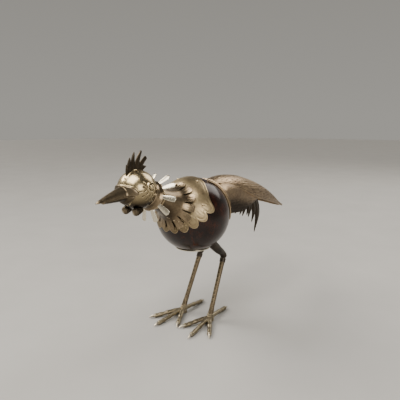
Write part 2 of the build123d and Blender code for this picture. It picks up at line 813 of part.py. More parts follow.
def save_clockwork():
    save(make_frame_plate(PLATE_IN), "frame_plate_left")
    save(make_frame_plate(-PLATE_IN - FRAME_T), "frame_plate_right")
    save(make_frame_pillars(), "frame_pillars")
    save(make_pillar_nuts(), "pillar_nuts")
    save(make_foot_bar(), "frame_foot_bar")
    save(make_key_bush(), "key_bush")
    save(make_winding_arbor(), "winding_arbor")
    save(make_winding_key(), "winding_key")
    save(make_mainspring(), "mainspring")
    save(make_ratchet_wheel(), "ratchet_wheel")
    save(make_click(), "click")
    save(make_click_spring(), "click_spring")
    save(make_great_wheel(), "great_wheel")
    save(make_second_wheel(), "second_wheel")
    save(make_crank_wheel(), "crank_wheel")
    save(make_fly(), "fly")


os.makedirs("parts", exist_ok=True)
save_body()
save_head()
save_legs()
save_clockwork()
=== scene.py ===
"""Looks of the wind-up hopping chicken: a dark polished nut in chased silver-gilt mounts.

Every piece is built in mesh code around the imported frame. Points are in millimetres in the frame's own axes
(the bird faces -Y, its left side is +X, the floor is z = 0) and turn into metres when a piece is made.
"""

import json
from math import cos, pi, radians, sin, sqrt

import bmesh
import bpy
import numpy as np
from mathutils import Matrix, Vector


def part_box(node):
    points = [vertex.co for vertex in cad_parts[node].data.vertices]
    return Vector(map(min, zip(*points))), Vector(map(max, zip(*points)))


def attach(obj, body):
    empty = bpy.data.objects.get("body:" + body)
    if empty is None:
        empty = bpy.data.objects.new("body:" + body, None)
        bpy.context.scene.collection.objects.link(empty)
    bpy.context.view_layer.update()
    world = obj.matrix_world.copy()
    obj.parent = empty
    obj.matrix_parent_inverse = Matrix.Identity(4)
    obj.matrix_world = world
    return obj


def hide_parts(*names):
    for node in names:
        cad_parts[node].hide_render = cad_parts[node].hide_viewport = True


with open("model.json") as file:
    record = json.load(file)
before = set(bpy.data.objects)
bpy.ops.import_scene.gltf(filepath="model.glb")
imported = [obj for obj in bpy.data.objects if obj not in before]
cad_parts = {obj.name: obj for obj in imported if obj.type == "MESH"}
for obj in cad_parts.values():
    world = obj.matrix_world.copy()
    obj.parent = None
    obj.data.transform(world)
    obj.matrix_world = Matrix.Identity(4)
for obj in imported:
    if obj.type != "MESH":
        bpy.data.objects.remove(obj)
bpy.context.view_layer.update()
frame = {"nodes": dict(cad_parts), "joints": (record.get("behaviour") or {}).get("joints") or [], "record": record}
MM = 0.001


# ---- Driving places, taken from the frame ----


def node_box(name):
    """A CAD node's lowest and highest corners, in millimetres."""
    low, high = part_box(name)
    return np.array(low) / MM, np.array(high) / MM


def joint(name):
    return next(j for j in frame["joints"] if j["name"] == name)


NUT_LOW, NUT_HIGH = node_box("nut_shell")
NUT_R = (NUT_HIGH[0] - NUT_LOW[0]) / 2
NUT = np.array([0, 0, NUT_LOW[2] + NUT_R])
PLATE_T = 0.7
PLATE_R = NUT_R + PLATE_T
HEAD_LOW, HEAD_HIGH = node_box("head_shell")
HEAD_R = (HEAD_HIGH[0] - HEAD_LOW[0]) / 2
HEAD = np.array([0, HEAD_LOW[1] + HEAD_R, HEAD_HIGH[2] - HEAD_R])
NECK = np.array(joint("head_turn")["axis"], float)
NECK /= np.linalg.norm(NECK)
ACROSS = np.array([1.0, 0, 0])
NECK_UP = np.cross(NECK, ACROSS)
COLLAR_TOP = 46.2
BREAST_TILT = 42.0
RUMP_TILT = 37.0
HIP_Z = joint("legs_hop")["pos_m"][2] / MM
THIGH_LOW, THIGH_HIGH = node_box("thigh_left")
KNEE_R = 2.7
LEG_X = THIGH_HIGH[0] - 3.2
KNEE = np.array([LEG_X, THIGH_HIGH[1] - KNEE_R, THIGH_LOW[2] + KNEE_R])
SOLE = next(m for m in frame["record"]["mounts"] if m["name"] == "left_sole")
FOOT = np.array(SOLE["pos_m"]) / MM + np.array([0, 0, 4.4])
TOES = ((-12.1, 24.6), (3.1, 33.4), (15.6, 24.5), (-1.4, -28.3))
CLAW = 4.6


# ---- Mesh tools ----


class Surface:
    """Points and faces gathered for one piece, with how dark each point is marked: how deeply it is chased, and
    painted shade where a piece adds it.
    """

    def __init__(self):
        self.points, self.faces, self.groove_and_shade, self.count = [], [], [], 0

    def add(self, points, faces, groove_and_shade=0.0):
        points = np.asarray(points, float).reshape(-1, 3)
        self.points.append(points)
        self.groove_and_shade.append(np.broadcast_to(np.asarray(groove_and_shade, float).ravel(), len(points)))
        self.faces += [[i + self.count for i in face] for face in faces]
        self.count += len(points)
        return self

    def grid(self, points, groove_and_shade=0.0, wrap=False, caps=False):
        """Rows and columns of points. wrap joins the last column to the first, caps close the end rows."""
        rows, cols = points.shape[:2]
        row = np.arange(rows - 1)[:, None] * cols
        col = np.arange(cols if wrap else cols - 1)[None, :]
        beside = (col + 1) % cols
        corners = [row + col, row + beside, row + cols + beside, row + cols + col]
        faces = np.stack(corners, -1).reshape(-1, 4).tolist()
        flat = points.reshape(-1, 3)
        groove_and_shade = np.broadcast_to(groove_and_shade, (rows, cols)).ravel()
        if caps:
            last = (rows - 1) * cols
            flat = np.vstack([flat, points[0].mean(0), points[-1].mean(0)])
            groove_and_shade = np.append(groove_and_shade, [groove_and_shade[0], groove_and_shade[-1]])
            faces += [[rows * cols, (c + 1) % cols, c] for c in range(cols)]
            faces += [[rows * cols + 1, last + c, last + (c + 1) % cols] for c in range(cols)]
        return self.add(flat, faces, groove_and_shade)

    def mirrored(self):
        """The same surface on the bird's other side."""
        twin = Surface()
        for points, groove_and_shade in zip(self.points, self.groove_and_shade):
            twin.points.append(points * [-1, 1, 1])
            twin.groove_and_shade.append(groove_and_shade)
        twin.faces = [face[::-1] for face in self.faces]
        twin.count = self.count
        return twin


def placed(name, data):
    """A new object in the scene."""
    obj = bpy.data.objects.new(name, data)
    bpy.context.scene.collection.objects.link(obj)
    return obj


def soften(obj, width, segments=2, angle=radians(50)):
    """Rounds an object's edges with a bevel of the given width in millimetres."""
    edge = obj.modifiers.new("Bevel", "BEVEL")
    edge.width, edge.segments = width * MM, segments
    edge.limit_method, edge.angle_limit = "ANGLE", angle


def piece(
    name, surface, body, slot, look,
    wall=0.0, inside=None, bevel=0.0, voxel=0.0, smooth=0, weld=0.004, nodes=None,
):
    """One Blender object on a CAD body. It replaces the CAD nodes given, or else the one it is named after.

    wall thickens an open sheet inwards, away from its outer face, and inside is a point behind that face.
    """
    nodes = [name] if nodes is None else nodes
    mesh = bpy.data.meshes.new(name)
    points = np.vstack(surface.points) * MM
    mesh.from_pydata(points.tolist(), [], surface.faces)
    attribute = mesh.attributes.new("groove_and_shade", "FLOAT", "POINT")
    attribute.data.foreach_set("value", np.concatenate(surface.groove_and_shade).astype(np.float32))
    settle(mesh, weld, inside)
    mesh.materials.append(look)
    obj = placed(name, mesh)
    if voxel:
        remesh = obj.modifiers.new("Remesh", "REMESH")
        remesh.mode, remesh.voxel_size, remesh.use_smooth_shade = "VOXEL", voxel * MM, True
    if smooth:
        relax = obj.modifiers.new("Smooth", "SMOOTH")
        relax.factor, relax.iterations = 0.5, smooth
    if wall:
        sheet = obj.modifiers.new("Wall", "SOLIDIFY")
        sheet.thickness, sheet.offset = wall * MM, -1
    if bevel:
        soften(obj, bevel)
    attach(obj, body)
    if nodes:
        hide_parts(*nodes)
    return obj


def settle(mesh, weld, inside):
    """Welds doubles and turns the faces outwards: away from the inside point where the sheet is open."""
    work = bmesh.new()
    work.from_mesh(mesh)
    bmesh.ops.remove_doubles(work, verts=work.verts, dist=weld * MM)
    bmesh.ops.dissolve_degenerate(work, edges=work.edges, dist=weld * MM / 4)
    bmesh.ops.recalc_face_normals(work, faces=work.faces)
    if inside is not None:
        centre = Vector(inside) * MM
        facing = sum(f.normal.dot(f.calc_center_median() - centre) * f.calc_area() for f in work.faces)
        if facing < 0:
            bmesh.ops.reverse_faces(work, faces=work.faces)
    for face in work.faces:
        face.smooth = True
    work.to_mesh(mesh)
    work.free()


def through(x, knots, values):
    """A smooth curve through knots, at x. values may be rows of numbers."""
    knots, values, x = np.asarray(knots, float), np.asarray(values, float), np.asarray(x, float)
    slopes = np.gradient(values, knots, axis=0)
    i = np.clip(np.searchsorted(knots, x) - 1, 0, len(knots) - 2)
    h = knots[i + 1] - knots[i]
    t = (x - knots[i]) / h
    if values.ndim > 1:
        h, t = h[..., None], t[..., None]
    a, b = values[i], values[i + 1]
    return (
        (2 * t**3 - 3 * t**2 + 1) * a
        + (t**3 - 2 * t**2 + t) * h * slopes[i]
        + (3 * t**2 - 2 * t**3) * b
        + (t**3 - t**2) * h * slopes[i + 1]
    )


def line_through(points, count):
    """Evenly parted points on a smooth line through a few given ones."""
    points = np.asarray(points, float)
    knots = np.append(0, np.cumsum(np.linalg.norm(np.diff(points, axis=0), axis=1)))
    return through(np.linspace(0, knots[-1], count), knots, points)


def joined(*parts):
    """Points from their coordinates, each spread over the others' grid."""
    return np.stack(np.broadcast_arrays(*parts), -1)


def unit(v):
    v = np.asarray(v, float)
    return v / np.maximum(np.linalg.norm(v, axis=-1, keepdims=True), 1e-12)


def hill(x, at, width):
    """1 where x is at its middle, falling smoothly to almost nothing two widths away."""
    return np.exp(-(((x - at) / width) ** 2))


def smoothstep(low, high, x):
    t = np.clip((np.asarray(x, float) - low) / (high - low), 0, 1)
    return t * t * (3 - 2 * t)


def normals_of(points, inside, wrap=False):
    """Unit normals of a grid that point away from the inside point."""
    if wrap:
        padded = np.concatenate([points[:, -1:], points, points[:, :1]], 1)
        across = (padded[:, 2:] - padded[:, :-2]) / 2
    else:
        across = np.gradient(points, axis=1)
    normals = unit(np.cross(np.gradient(points, axis=0), across))
    away = np.sum(normals * (points - np.asarray(inside)), -1).sum()
    return normals * (1 if away > 0 else -1)


def sunk(points, depth, inside, wrap=False):
    """The grid with each point pushed into the metal by depth."""
    return points - normals_of(points, inside, wrap) * np.asarray(depth)[..., None]


def lathe(surface, profile, place, around=64, groove_and_shade=0.0):
    """A closed profile of (radius, along) points turned about an axis. place is (origin, axis, side)."""
    origin, axis, side = (np.asarray(v, float) for v in place)
    other = np.cross(axis, side)
    turn = np.linspace(0, 2 * pi, around, endpoint=False)
    profile = np.asarray(profile, float)
    ring = np.cos(turn)[:, None] * side + np.sin(turn)[:, None] * other
    points = origin + profile[:, None, 1:2] * axis + profile[:, None, 0:1] * ring[None]
    closed = np.concatenate([points, points[:1]])
    return surface.grid(closed, groove_and_shade, wrap=True)


def sweep(surface, path, wide, tall, up=(0, 0, 1), around=28, depth=None, groove_and_shade=0.0):
    """A closed bar along a path with oval sections. depth(i, angle) sinks its skin."""
    path = np.asarray(path, float)
    along = unit(np.gradient(path, axis=0))
    side = unit(np.cross(along, np.asarray(up, float)))
    over = np.cross(side, along)
    angle = np.linspace(0, 2 * pi, around, endpoint=False)
    sink = 0 if depth is None else depth(np.linspace(0, 1, len(path))[:, None], angle[None, :])
    wide = np.broadcast_to(wide, len(path))[:, None] - sink
    tall = np.broadcast_to(tall, len(path))[:, None] - sink
    points = (
        path[:, None]
        + side[:, None] * (np.maximum(wide, 0.01) * np.cos(angle))[..., None]
        + over[:, None] * (np.maximum(tall, 0.01) * np.sin(angle))[..., None]
    )
    if depth is not None:
        groove_and_shade = np.clip(sink / 0.35, 0, 1)
    return surface.grid(points, groove_and_shade, wrap=True, caps=True)


def rounded(count, start, end, tip_start=0.15, tip_end=0.15):
    """Half widths along a bar from start to end that close round over its tips' shares of the length."""
    t = np.linspace(0, 1, count)
    head = np.sqrt(np.clip(1 - (1 - np.clip(t / tip_start, 0, 1)) ** 2, 0, 1)) if tip_start else 1
    tail = np.sqrt(np.clip(1 - (1 - np.clip((1 - t) / tip_end, 0, 1)) ** 2, 0, 1)) if tip_end else 1
    return (start + (end - start) * t) * head * tail


def blade(surface, path, width, face, thick=0.6, cup=0.0, ridge=0.0, veins=0, across=13):
    """A feather or leaf: a thin closed body on a path, width wide, whose flat side looks along face.

    cup curls its edges back and ridge raises its middle. veins is how many long lines are chased each side.
    """
    path = np.asarray(path, float)
    along = unit(np.gradient(path, axis=0))
    flank = unit(np.cross(np.asarray(face, float), along))
    out = np.cross(along, flank)
    a = np.sin(np.linspace(-pi / 2, pi / 2, across))
    width = np.maximum(np.broadcast_to(width, len(path)), 0.02)
    thin = np.minimum(thick, 1.5 * width)[:, None]
    body = thin / 2 * np.sqrt(np.clip(1 - a**2, 0, 1)) ** 0.5
    lift = -cup * a**2 * (width / width.max())[:, None]
    lines = np.abs(a) * (veins + 0.5)
    chase = hill(lines, np.round(lines), 0.22) * (lines > 0.5) * (veins > 0)
    chase = np.ones((len(path), 1)) * chase
    rib = ridge * hill(a, 0, 0.13) * np.minimum(1, width / (width.max() * 0.5))[:, None]
    front = body + lift + rib - 0.12 * chase
    back = -body + lift
    spread = flank[:, None] * (a * width[:, None])[..., None]
    top = path[:, None] + spread + out[:, None] * front[..., None]
    under = path[:, None] + spread + out[:, None] * back[..., None]
    loop = np.concatenate([top, under[:, -2:0:-1]], 1)
    marks = np.concatenate([chase, np.zeros((len(path), across - 2))], 1)
    return surface.grid(loop, marks, wrap=True, caps=True)


# ---- Chasing patterns: 0 on the plain metal, 1 at the bottom of a cut ----


def drops(x, y, spots, length, width):
    """Teardrop cuts. Each spot is (x, y, direction in degrees) at the drop's thin end."""
    cut = np.zeros(np.shape(x))
    for sx, sy, turn in spots:
        c, s = cos(radians(turn)), sin(radians(turn))
        a = ((x - sx) * c + (y - sy) * s) / length
        b = (-(x - sx) * s + (y - sy) * c) / width
        half = np.sqrt(np.clip(4 * a * (1 - a), 0, 1)) * (0.3 + 0.7 * np.clip(a, 0, 1))
        drop = np.clip(1.6 * (1 - np.abs(b) / np.maximum(half, 1e-6)), 0, 1)
        cut = np.maximum(cut, drop * (half > 1e-3))
    return cut


def scales(u, v, pitch_u, pitch_v, width=0.16):
    """Overlapping feather scales that point along +v: (their edges' cuts, their height)."""
    row = np.floor(v / pitch_v)
    x = u / pitch_u + 0.5 * (row % 2)
    x = x - np.round(x)
    y = v / pitch_v - row
    edge = 0.96 * np.sqrt(np.clip(1 - (x / 0.52) ** 2, 0, 1))
    gap = y - edge
    cut = hill(gap, 0, width)
    over = np.where(gap < 0, 0.35 + 0.65 * y, 0.25 * (1 - gap))
    rib = 0.55 * hill(x, 0, 0.05) * smoothstep(0.15, 0.3, y) * (gap < -0.1)
    fine = (y + np.abs(x) * 1.3) * 6
    barbs = 0.4 * hill(fine, np.round(fine), 0.2) * (gap < -0.08)
    return np.maximum.reduce([cut, rib, barbs]), over


def strokes(s, h, pitch, dash, duty=0.75, width=0.11):
    """Rows of hand-cut dashes across s, each dash running along h, with a little unevenness."""
    k = np.round(s / pitch)
    wobble = np.sin(k * 12.9898) * 43758.5453
    wobble = wobble - np.floor(wobble)
    near = s / pitch - k + 0.1 * np.sin(h / 1.7 + wobble * 6.0)
    part = h / dash + wobble * 0.9 + 0.5 * (k % 2)
    part = part - np.floor(part)
    ends = smoothstep(0, 0.12, part) * smoothstep(duty, duty - 0.14, part)
    return hill(near, 0, width) * ends


# ---- Materials ----


def fill_ramp(ramp, stops):
    """Puts stops on a colour ramp, each a place and a colour or a grey."""
    while len(ramp.elements) < len(stops):
        ramp.elements.new(0.5)
    for element, (at, value) in zip(ramp.elements, stops):
        element.position = at
        element.color = (*value, 1) if isinstance(value, tuple) else (value, value, value, 1)


class Look:
    """A short way to wire one procedural material."""

    def __init__(self, name):
        self.material = bpy.data.materials.new(name)
        self.material.use_nodes = True
        self.tree = self.material.node_tree
        self.shader = self.tree.nodes["Principled BSDF"]
        self.where = self.node("ShaderNodeTexCoord").outputs["Object"]

    def node(self, kind, inputs=None, **settings):
        made = self.tree.nodes.new(kind)
        for key, value in settings.items():
            setattr(made, key, value)
        for key, value in (inputs or {}).items():
            self.put(made.inputs[key], value)
        return made

    def put(self, socket, value):
        if isinstance(value, bpy.types.NodeSocket):
            self.tree.links.new(value, socket)
        else:
            socket.default_value = value

    def wire(self, inputs):
        """Sets the shader's own inputs by name."""
        for key, value in inputs.items():
            self.put(self.shader.inputs[key], value)

    def stretch(self, scale):
        return self.node("ShaderNodeMapping", {"Vector": self.where, "Scale": scale}).outputs["Vector"]

    def noise(self, size_mm, detail=5.0, rough=0.6, warp=0.0, where=None):
        """Noise whose features are about size_mm across."""
        inputs = {"Vector": where or self.where, "Scale": 1 / (size_mm * MM), "Detail": detail}
        inputs.update({"Roughness": rough, "Distortion": warp})
        return self.node("ShaderNodeTexNoise", inputs).outputs["Fac"]

    def ramp(self, fac, *stops):
        made = self.node("ShaderNodeValToRGB", {"Fac": fac})
        fill_ramp(made.color_ramp, stops)
        return made.outputs["Color"]

    def math(self, kind, a, b=0.0, clamp=False):
        return self.node("ShaderNodeMath", {0: a, 1: b}, operation=kind, use_clamp=clamp).outputs[0]

    def mix(self, fac, a, b):
        made = self.node("ShaderNodeMix", {0: fac}, data_type="RGBA")
        for index, value in ((6, a), (7, b)):
            self.put(made.inputs[index], (*value, 1) if isinstance(value, tuple) else value)
        return made.outputs[2]

    # The per-point attribute of chased depth and painted shade.
    def groove_and_shade(self):
        return self.node("ShaderNodeAttribute", attribute_name="groove_and_shade").outputs["Fac"]

    def underside(self):
        """1 where the piece's own skin faces down, 0 from level upwards: the mask of the painted underside shade.
        """
        normal = self.node("ShaderNodeTexCoord").outputs["Normal"]
        rise = self.node("ShaderNodeSeparateXYZ", {0: normal}).outputs["Z"]
        span = {"Value": rise, "From Min": -0.62, "From Max": 0.25, "To Min": 1.0, "To Max": 0.0}
        return self.node("ShaderNodeMapRange", span).outputs["Result"]

    def edges(self, low, high):
        """1 on worn outer edges, 0 elsewhere."""
        return self.ramp(self.node("ShaderNodeNewGeometry").outputs["Pointiness"], (low, 0.0), (high, 1.0))

    def bump(self, height, distance_mm, strength=1.0, under=None):
        inputs = {"Height": height, "Distance": distance_mm * MM, "Strength": strength}
        if under:
            inputs["Normal"] = under
        return self.node("ShaderNodeBump", inputs).outputs["Normal"]


# Colour of chased cuts and of painted shade.
DARK_CUT_AND_SHADE = (0.020, 0.014, 0.009)


def metal(
    name, bright, tarnish, rough, patchy=0.5, wear=0.8, dents=0.05, grain=0.012, shade=0.55, cut=DARK_CUT_AND_SHADE
):
    """Old worn metal: bright where rubbed, tarnished in patches, darkened below as painted shade, dark in its
    chased lines and in the painted shade that pieces mark.

    rough is the roughness from polished to matt, patchy how much tarnish there is, wear how bright its edges
    are rubbed, dents and grain its bumps in millimetres, shade how far painted shade darkens its underside towards
    cut, cut the colour of its chased lines and painted shade.
    """
    look = Look(name)
    broad = look.noise(9.0, 4, 0.55, 0.6)
    close = look.noise(1.3, 6, 0.65)
    patches = look.math("ADD", look.math("MULTIPLY", broad, 0.62), look.math("MULTIPLY", close, 0.38))
    patches = look.ramp(patches, (0.56 - 0.2 * patchy, 0.0), (0.60 + 0.12 * patchy, 1.0))
    colour = look.mix(patches, bright, tarnish)
    # Painted shade: downward-facing skin darkens towards cut, by shade.
    colour = look.mix(look.math("MULTIPLY", look.underside(), shade), colour, cut)
    freckles = look.ramp(look.noise(0.55, 3, 0.5), (0.60, 0.0), (0.72, 0.5))
    colour = look.mix(look.math("MULTIPLY", freckles, patchy), colour, cut)
    hollow = look.node("ShaderNodeNewGeometry").outputs["Pointiness"]
    hollow = look.ramp(hollow, (0.40, 0.85), (0.485, 0.0))
    # Dirt in chased lines and hollows, joined by the painted shade that some pieces mark in the same attribute.
    dirt_and_shade = look.math("MAXIMUM", look.groove_and_shade(), hollow, True)
    dirt_and_shade = look.math("MULTIPLY", dirt_and_shade, look.ramp(close, (0.2, 0.8), (0.6, 1.0)))
    colour = look.mix(dirt_and_shade, colour, cut)
    rubbed = look.math("MULTIPLY", look.edges(0.515, 0.575), wear)
    shine = tuple(min(1.0, 1.25 * c + 0.04) for c in bright)
    colour = look.mix(rubbed, colour, shine)
    span = rough[1] - rough[0]
    gloss = look.math("MULTIPLY", look.noise(2.2, 6, 0.7), span * 1.4)
    gloss = look.math("ADD", gloss, rough[0] - 0.2 * span)
    gloss = look.math("ADD", gloss, look.math("MULTIPLY", dirt_and_shade, 0.3), True)
    scratches = look.noise(0.5, 3, 0.7, 0.2, look.stretch((1.0, 0.12, 1.0)))
    normal = look.bump(look.noise(3.4, 3, 0.5), dents)
    normal = look.bump(look.noise(0.3, 3, 0.6), grain, 1.0, normal)
    normal = look.bump(scratches, grain * 0.8, 1.0, normal)
    look.wire({"Base Color": colour, "Metallic": 1.0, "Roughness": gloss, "Normal": normal})
    return look.material


def nut_look():
    """Polished dark nut: brown-black depth with a redder figure, faint grain lines and a waxed gloss."""
    look = Look("polished_nut")
    figure = look.noise(7.0, 6, 0.62, 1.4, look.stretch((1.0, 1.0, 0.45)))
    streak = look.noise(1.1, 5, 0.6, 0.4, look.stretch((1.0, 1.0, 0.16)))
    shade = look.math("ADD", look.math("MULTIPLY", figure, 0.7), look.math("MULTIPLY", streak, 0.3))
    black, brown, red = (0.003, 0.0014, 0.0012), (0.015, 0.0045, 0.0026), (0.062, 0.015, 0.006)
    colour = look.ramp(shade, (0.36, black), (0.52, brown), (0.70, red))
    flecks = look.ramp(look.noise(0.7, 3, 0.5, 0, look.stretch((1.0, 1.0, 0.3))), (0.64, 0.0), (0.74, 0.6))
    colour = look.mix(flecks, colour, (0.055, 0.020, 0.010))
    gloss = look.math("ADD", look.math("MULTIPLY", look.noise(2.5, 6, 0.7), 0.16), 0.16)
    normal = look.bump(look.noise(6.0, 3, 0.5), 0.12)
    normal = look.bump(streak, 0.02, 0.6, normal)
    wax = look.bump(look.noise(9.0, 2, 0.5), 0.10)
    look.wire({"Base Color": colour, "Roughness": gloss, "Specular IOR Level": 0.24, "IOR": 1.52})
    look.wire({"Coat Weight": 0.2, "Coat Roughness": 0.07, "Normal": normal, "Coat Normal": wax})
    return look.material


def floor_look():
    """Plain pale paper-like floor with the faintest unevenness."""
    look = Look("pale_floor")
    tone = look.ramp(look.noise(60.0, 3, 0.5), (0.3, (0.43, 0.42, 0.40)), (0.7, (0.46, 0.45, 0.43)))
    look.wire({"Base Color": tone, "Roughness": 0.7, "Normal": look.bump(look.noise(0.8, 3, 0.6), 0.01)})
    return look.material


GILT_PLATE = metal(
    "gilt_plate", (0.53, 0.415, 0.24), (0.34, 0.25, 0.145), (0.28, 0.42), 0.6, dents=0.03, shade=0.8
)
GILT_TAIL = metal("gilt_tail", (0.44, 0.32, 0.19), (0.25, 0.165, 0.10), (0.26, 0.42), 0.8, shade=0.8)
GILT_HEAD = metal(
    "gilt_head", (0.60, 0.48, 0.28), (0.42, 0.32, 0.18), (0.20, 0.30), dents=0.014, grain=0.006, shade=0.97
)
BEAK_METAL = metal(
    "gilt_beak", (0.25, 0.195, 0.125), (0.12, 0.092, 0.06), (0.24, 0.38), 0.6, dents=0.02, shade=0.85
)
CONE_METAL = metal(
    "collar_gilt", (0.40, 0.305, 0.19), (0.21, 0.15, 0.095), (0.2, 0.34), dents=0.02, shade=0.85
)
COMB_METAL = metal("dark_comb", (0.075, 0.058, 0.038), (0.032, 0.025, 0.017), (0.36, 0.5), 0.7, 0.35)
FEATHER_METAL = metal("dark_feather", (0.070, 0.057, 0.042), (0.022, 0.018, 0.014), (0.24, 0.4), 0.6, 0.9)
SILVER = metal(
    "bright_silver", (0.80, 0.73, 0.58), (0.52, 0.45, 0.33), (0.2, 0.32), 0.4,
    dents=0.02, shade=0.25, cut=(0.08, 0.065, 0.05),
)
CLAW_METAL = metal("claw_silver", (0.62, 0.56, 0.43), (0.32, 0.27, 0.19), (0.26, 0.4), 0.6)
LEG_METAL = metal("leg_metal", (0.25, 0.195, 0.12), (0.11, 0.084, 0.056), (0.26, 0.42), 0.8, 0.9)
THIGH_METAL = metal("thigh_metal", (0.085, 0.070, 0.055), (0.03, 0.026, 0.022), (0.26, 0.4), 0.6, 0.6)
FOOT_METAL = metal("foot_metal", (0.42, 0.355, 0.235), (0.15, 0.122, 0.08), (0.26, 0.4), 0.9, 1.0, 0.09)
CLOCK_BRASS = metal(
    "clock_brass", (0.72, 0.52, 0.22), (0.46, 0.31, 0.13), (0.2, 0.34), shade=0.3, cut=(0.06, 0.04, 0.02)
)
STEEL = metal(
    "steel", (0.42, 0.42, 0.43), (0.22, 0.22, 0.23), (0.2, 0.36), shade=0.3, cut=(0.03, 0.028, 0.026)
)
NUT_WOOD = nut_look()


# ---- Nut, its plates and fittings ----


def on_nut(tilt, side, x, u, radius):
    """The point of a sphere about the nut's centre over (x, u), millimetres in the plate's own plane."""
    out = np.array([0, side * cos(radians(tilt)), sin(radians(tilt))])
    up = np.array([0, -side * sin(radians(tilt)), cos(radians(tilt))])
    z = np.sqrt(np.clip(radius**2 - x**2 - u**2, 0, None))
    return NUT + x[..., None] * ACROSS + u[..., None] * up + z[..., None] * out


def neck_radius(points):
    """How far points lie from the neck's axis."""
    rel = points - NUT
    return np.linalg.norm(rel - (rel @ NECK)[..., None] * NECK, axis=-1)


def rim_distance(x, u, rim):
    """The shortest way from points to a dense outline."""
    flat = np.stack([x.ravel(), u.ravel()], 1)
    best = np.full(len(flat), 1e9)
    for k in range(0, len(rim), 64):
        part = np.linalg.norm(flat[:, None] - rim[None, k : k + 64], axis=2).min(1)
        best = np.minimum(best, part)
    return best.reshape(x.shape)


def disc_grid(rim, centre, inner, rows):
    """A polar grid from a circle of radius inner out to an outline: its plane coordinates."""
    rim, centre = np.asarray(rim, float), np.asarray(centre, float)
    start = centre + unit(rim - centre) * inner
    t = np.linspace(0, 1, rows)[:, None, None] ** 0.9
    grid = start + (rim - start) * t
    return grid[..., 0], grid[..., 1]


LOBES = 10
LOBE_SPREAD = 172.0
LOBE_STEP = LOBE_SPREAD / (LOBES - 1)
LOBE_PAST = 6.5
PLATE_WALL = 0.62
EDGE_BEVEL = 0.1


def breast_rim():
    """A shield: ten scallops round the front, then a plain back edge."""
    first = -90 - LOBE_SPREAD / 2
    turn = np.linspace(first - LOBE_PAST, first + LOBE_SPREAD + LOBE_PAST, 490)
    tip = 0.86 + 0.045 * np.abs(turn + 90) / (LOBE_SPREAD / 2)
    wave = np.abs(np.cos(pi * (turn - first) / LOBE_STEP)) ** 0.5
    reach = tip - 0.095 * (1 - wave)
    front = np.stack([reach * np.cos(np.radians(turn)), reach * np.sin(np.radians(turn))], 1)
    back = [(0.80, 0.13), (0.64, 0.36), (0.43, 0.59), (0.22, 0.70), (0, 0.735)]
    right = line_through([front[-1], *back], 90)
    left = right[-2:0:-1] * [-1, 1]
    return np.concatenate([front, right[1:], left]) * PLATE_R


def breast_marks(x, u):
    """Cuts on the lower lobes: a drop with two ticks beside it, radiating from the middle."""
    spots = []
    for k in range(LOBES):
        turn = -90 + LOBE_SPREAD * (k / (LOBES - 1) - 0.5)
        for shift, start in ((-5.5, 0.70), (0.0, 0.66), (5.5, 0.70)):
            a = radians(turn + shift)
            spots.append((start * PLATE_R * cos(a), start * PLATE_R * sin(a), turn + shift))
    return drops(x, u, spots, length=3.6, width=0.6)


def make_breast_plate():
    rim = breast_rim()
    x, u = disc_grid(rim, (0, -0.308 * PLATE_R), 5.6, 120)
    points = on_nut(BREAST_TILT, -1, x, u, PLATE_R)
    edge = rim_distance(x, u, rim)
    line = hill(edge, 1.25, 0.17)
    bead = smoothstep(1.15, 0.6, edge)
    front = smoothstep(0.30, -0.35, u / PLATE_R) * smoothstep(0.62, 0.35, np.abs(x) / PLATE_R)
    marks = breast_marks(x, u) * (0.35 + 0.65 * front)
    # Painted shade: the plate beneath the collar's tongues is darkened almost to black.
    shade = smoothstep(16.9, 15.2, neck_radius(points))
    points = sunk(points, 0.06 * line - 0.06 * bead + 0.12 * marks, NUT)
    # Painted shade: the lowest lobes are darkened by about a third.
    low = 0.35 * smoothstep(-0.50, -0.72, u / PLATE_R)
    cut = np.maximum.reduce([0.25 * line, 0.95 * marks, 0.97 * shade, low])
    surface = Surface().grid(points, cut, wrap=True)
    return piece("breast_plate", surface, "body", "gilt_plate", GILT_PLATE, PLATE_WALL, NUT, EDGE_BEVEL)


def rump_rim():
    """The back cap's outline, with a pair of horns at the front."""
    horn = [(0, 0.42), (0.14, 0.43), (0.29, 0.58), (0.40, 0.66), (0.53, 0.47), (0.70, 0.17), (0.83, -0.08)]
    back = [(0.86, -0.26), (0.78, -0.48), (0.60, -0.66), (0.30, -0.76), (0, -0.78)]
    half = line_through(horn + back, 260)
    return np.concatenate([half, half[-2:0:-1] * [-1, 1]]) * PLATE_R


def make_rump_mount():
    rim = rump_rim()
    x, u = disc_grid(rim, (0, -0.1 * PLATE_R), 0.3, 90)
    points = on_nut(RUMP_TILT, 1, x, u, PLATE_R)
    edge = rim_distance(x, u, rim)
    line = hill(edge, 1.7, 0.16)
    feathers, lift = scales(x, -u, pitch_u=4.4, pitch_v=4.8)
    inner = smoothstep(1.8, 2.4, edge)
    feathers, lift = feathers * inner, lift * inner
    bead = smoothstep(1.5, 1.0, edge)
    points = sunk(points, 0.15 * line + 0.12 * (feathers - lift) - 0.14 * bead, NUT)
    cut = np.maximum(0.7 * line, 0.6 * feathers)
    surface = Surface().grid(points, cut, wrap=True)
    return piece("rump_mount", surface, "body", "gilt_plate", GILT_TAIL, PLATE_WALL, NUT, EDGE_BEVEL)


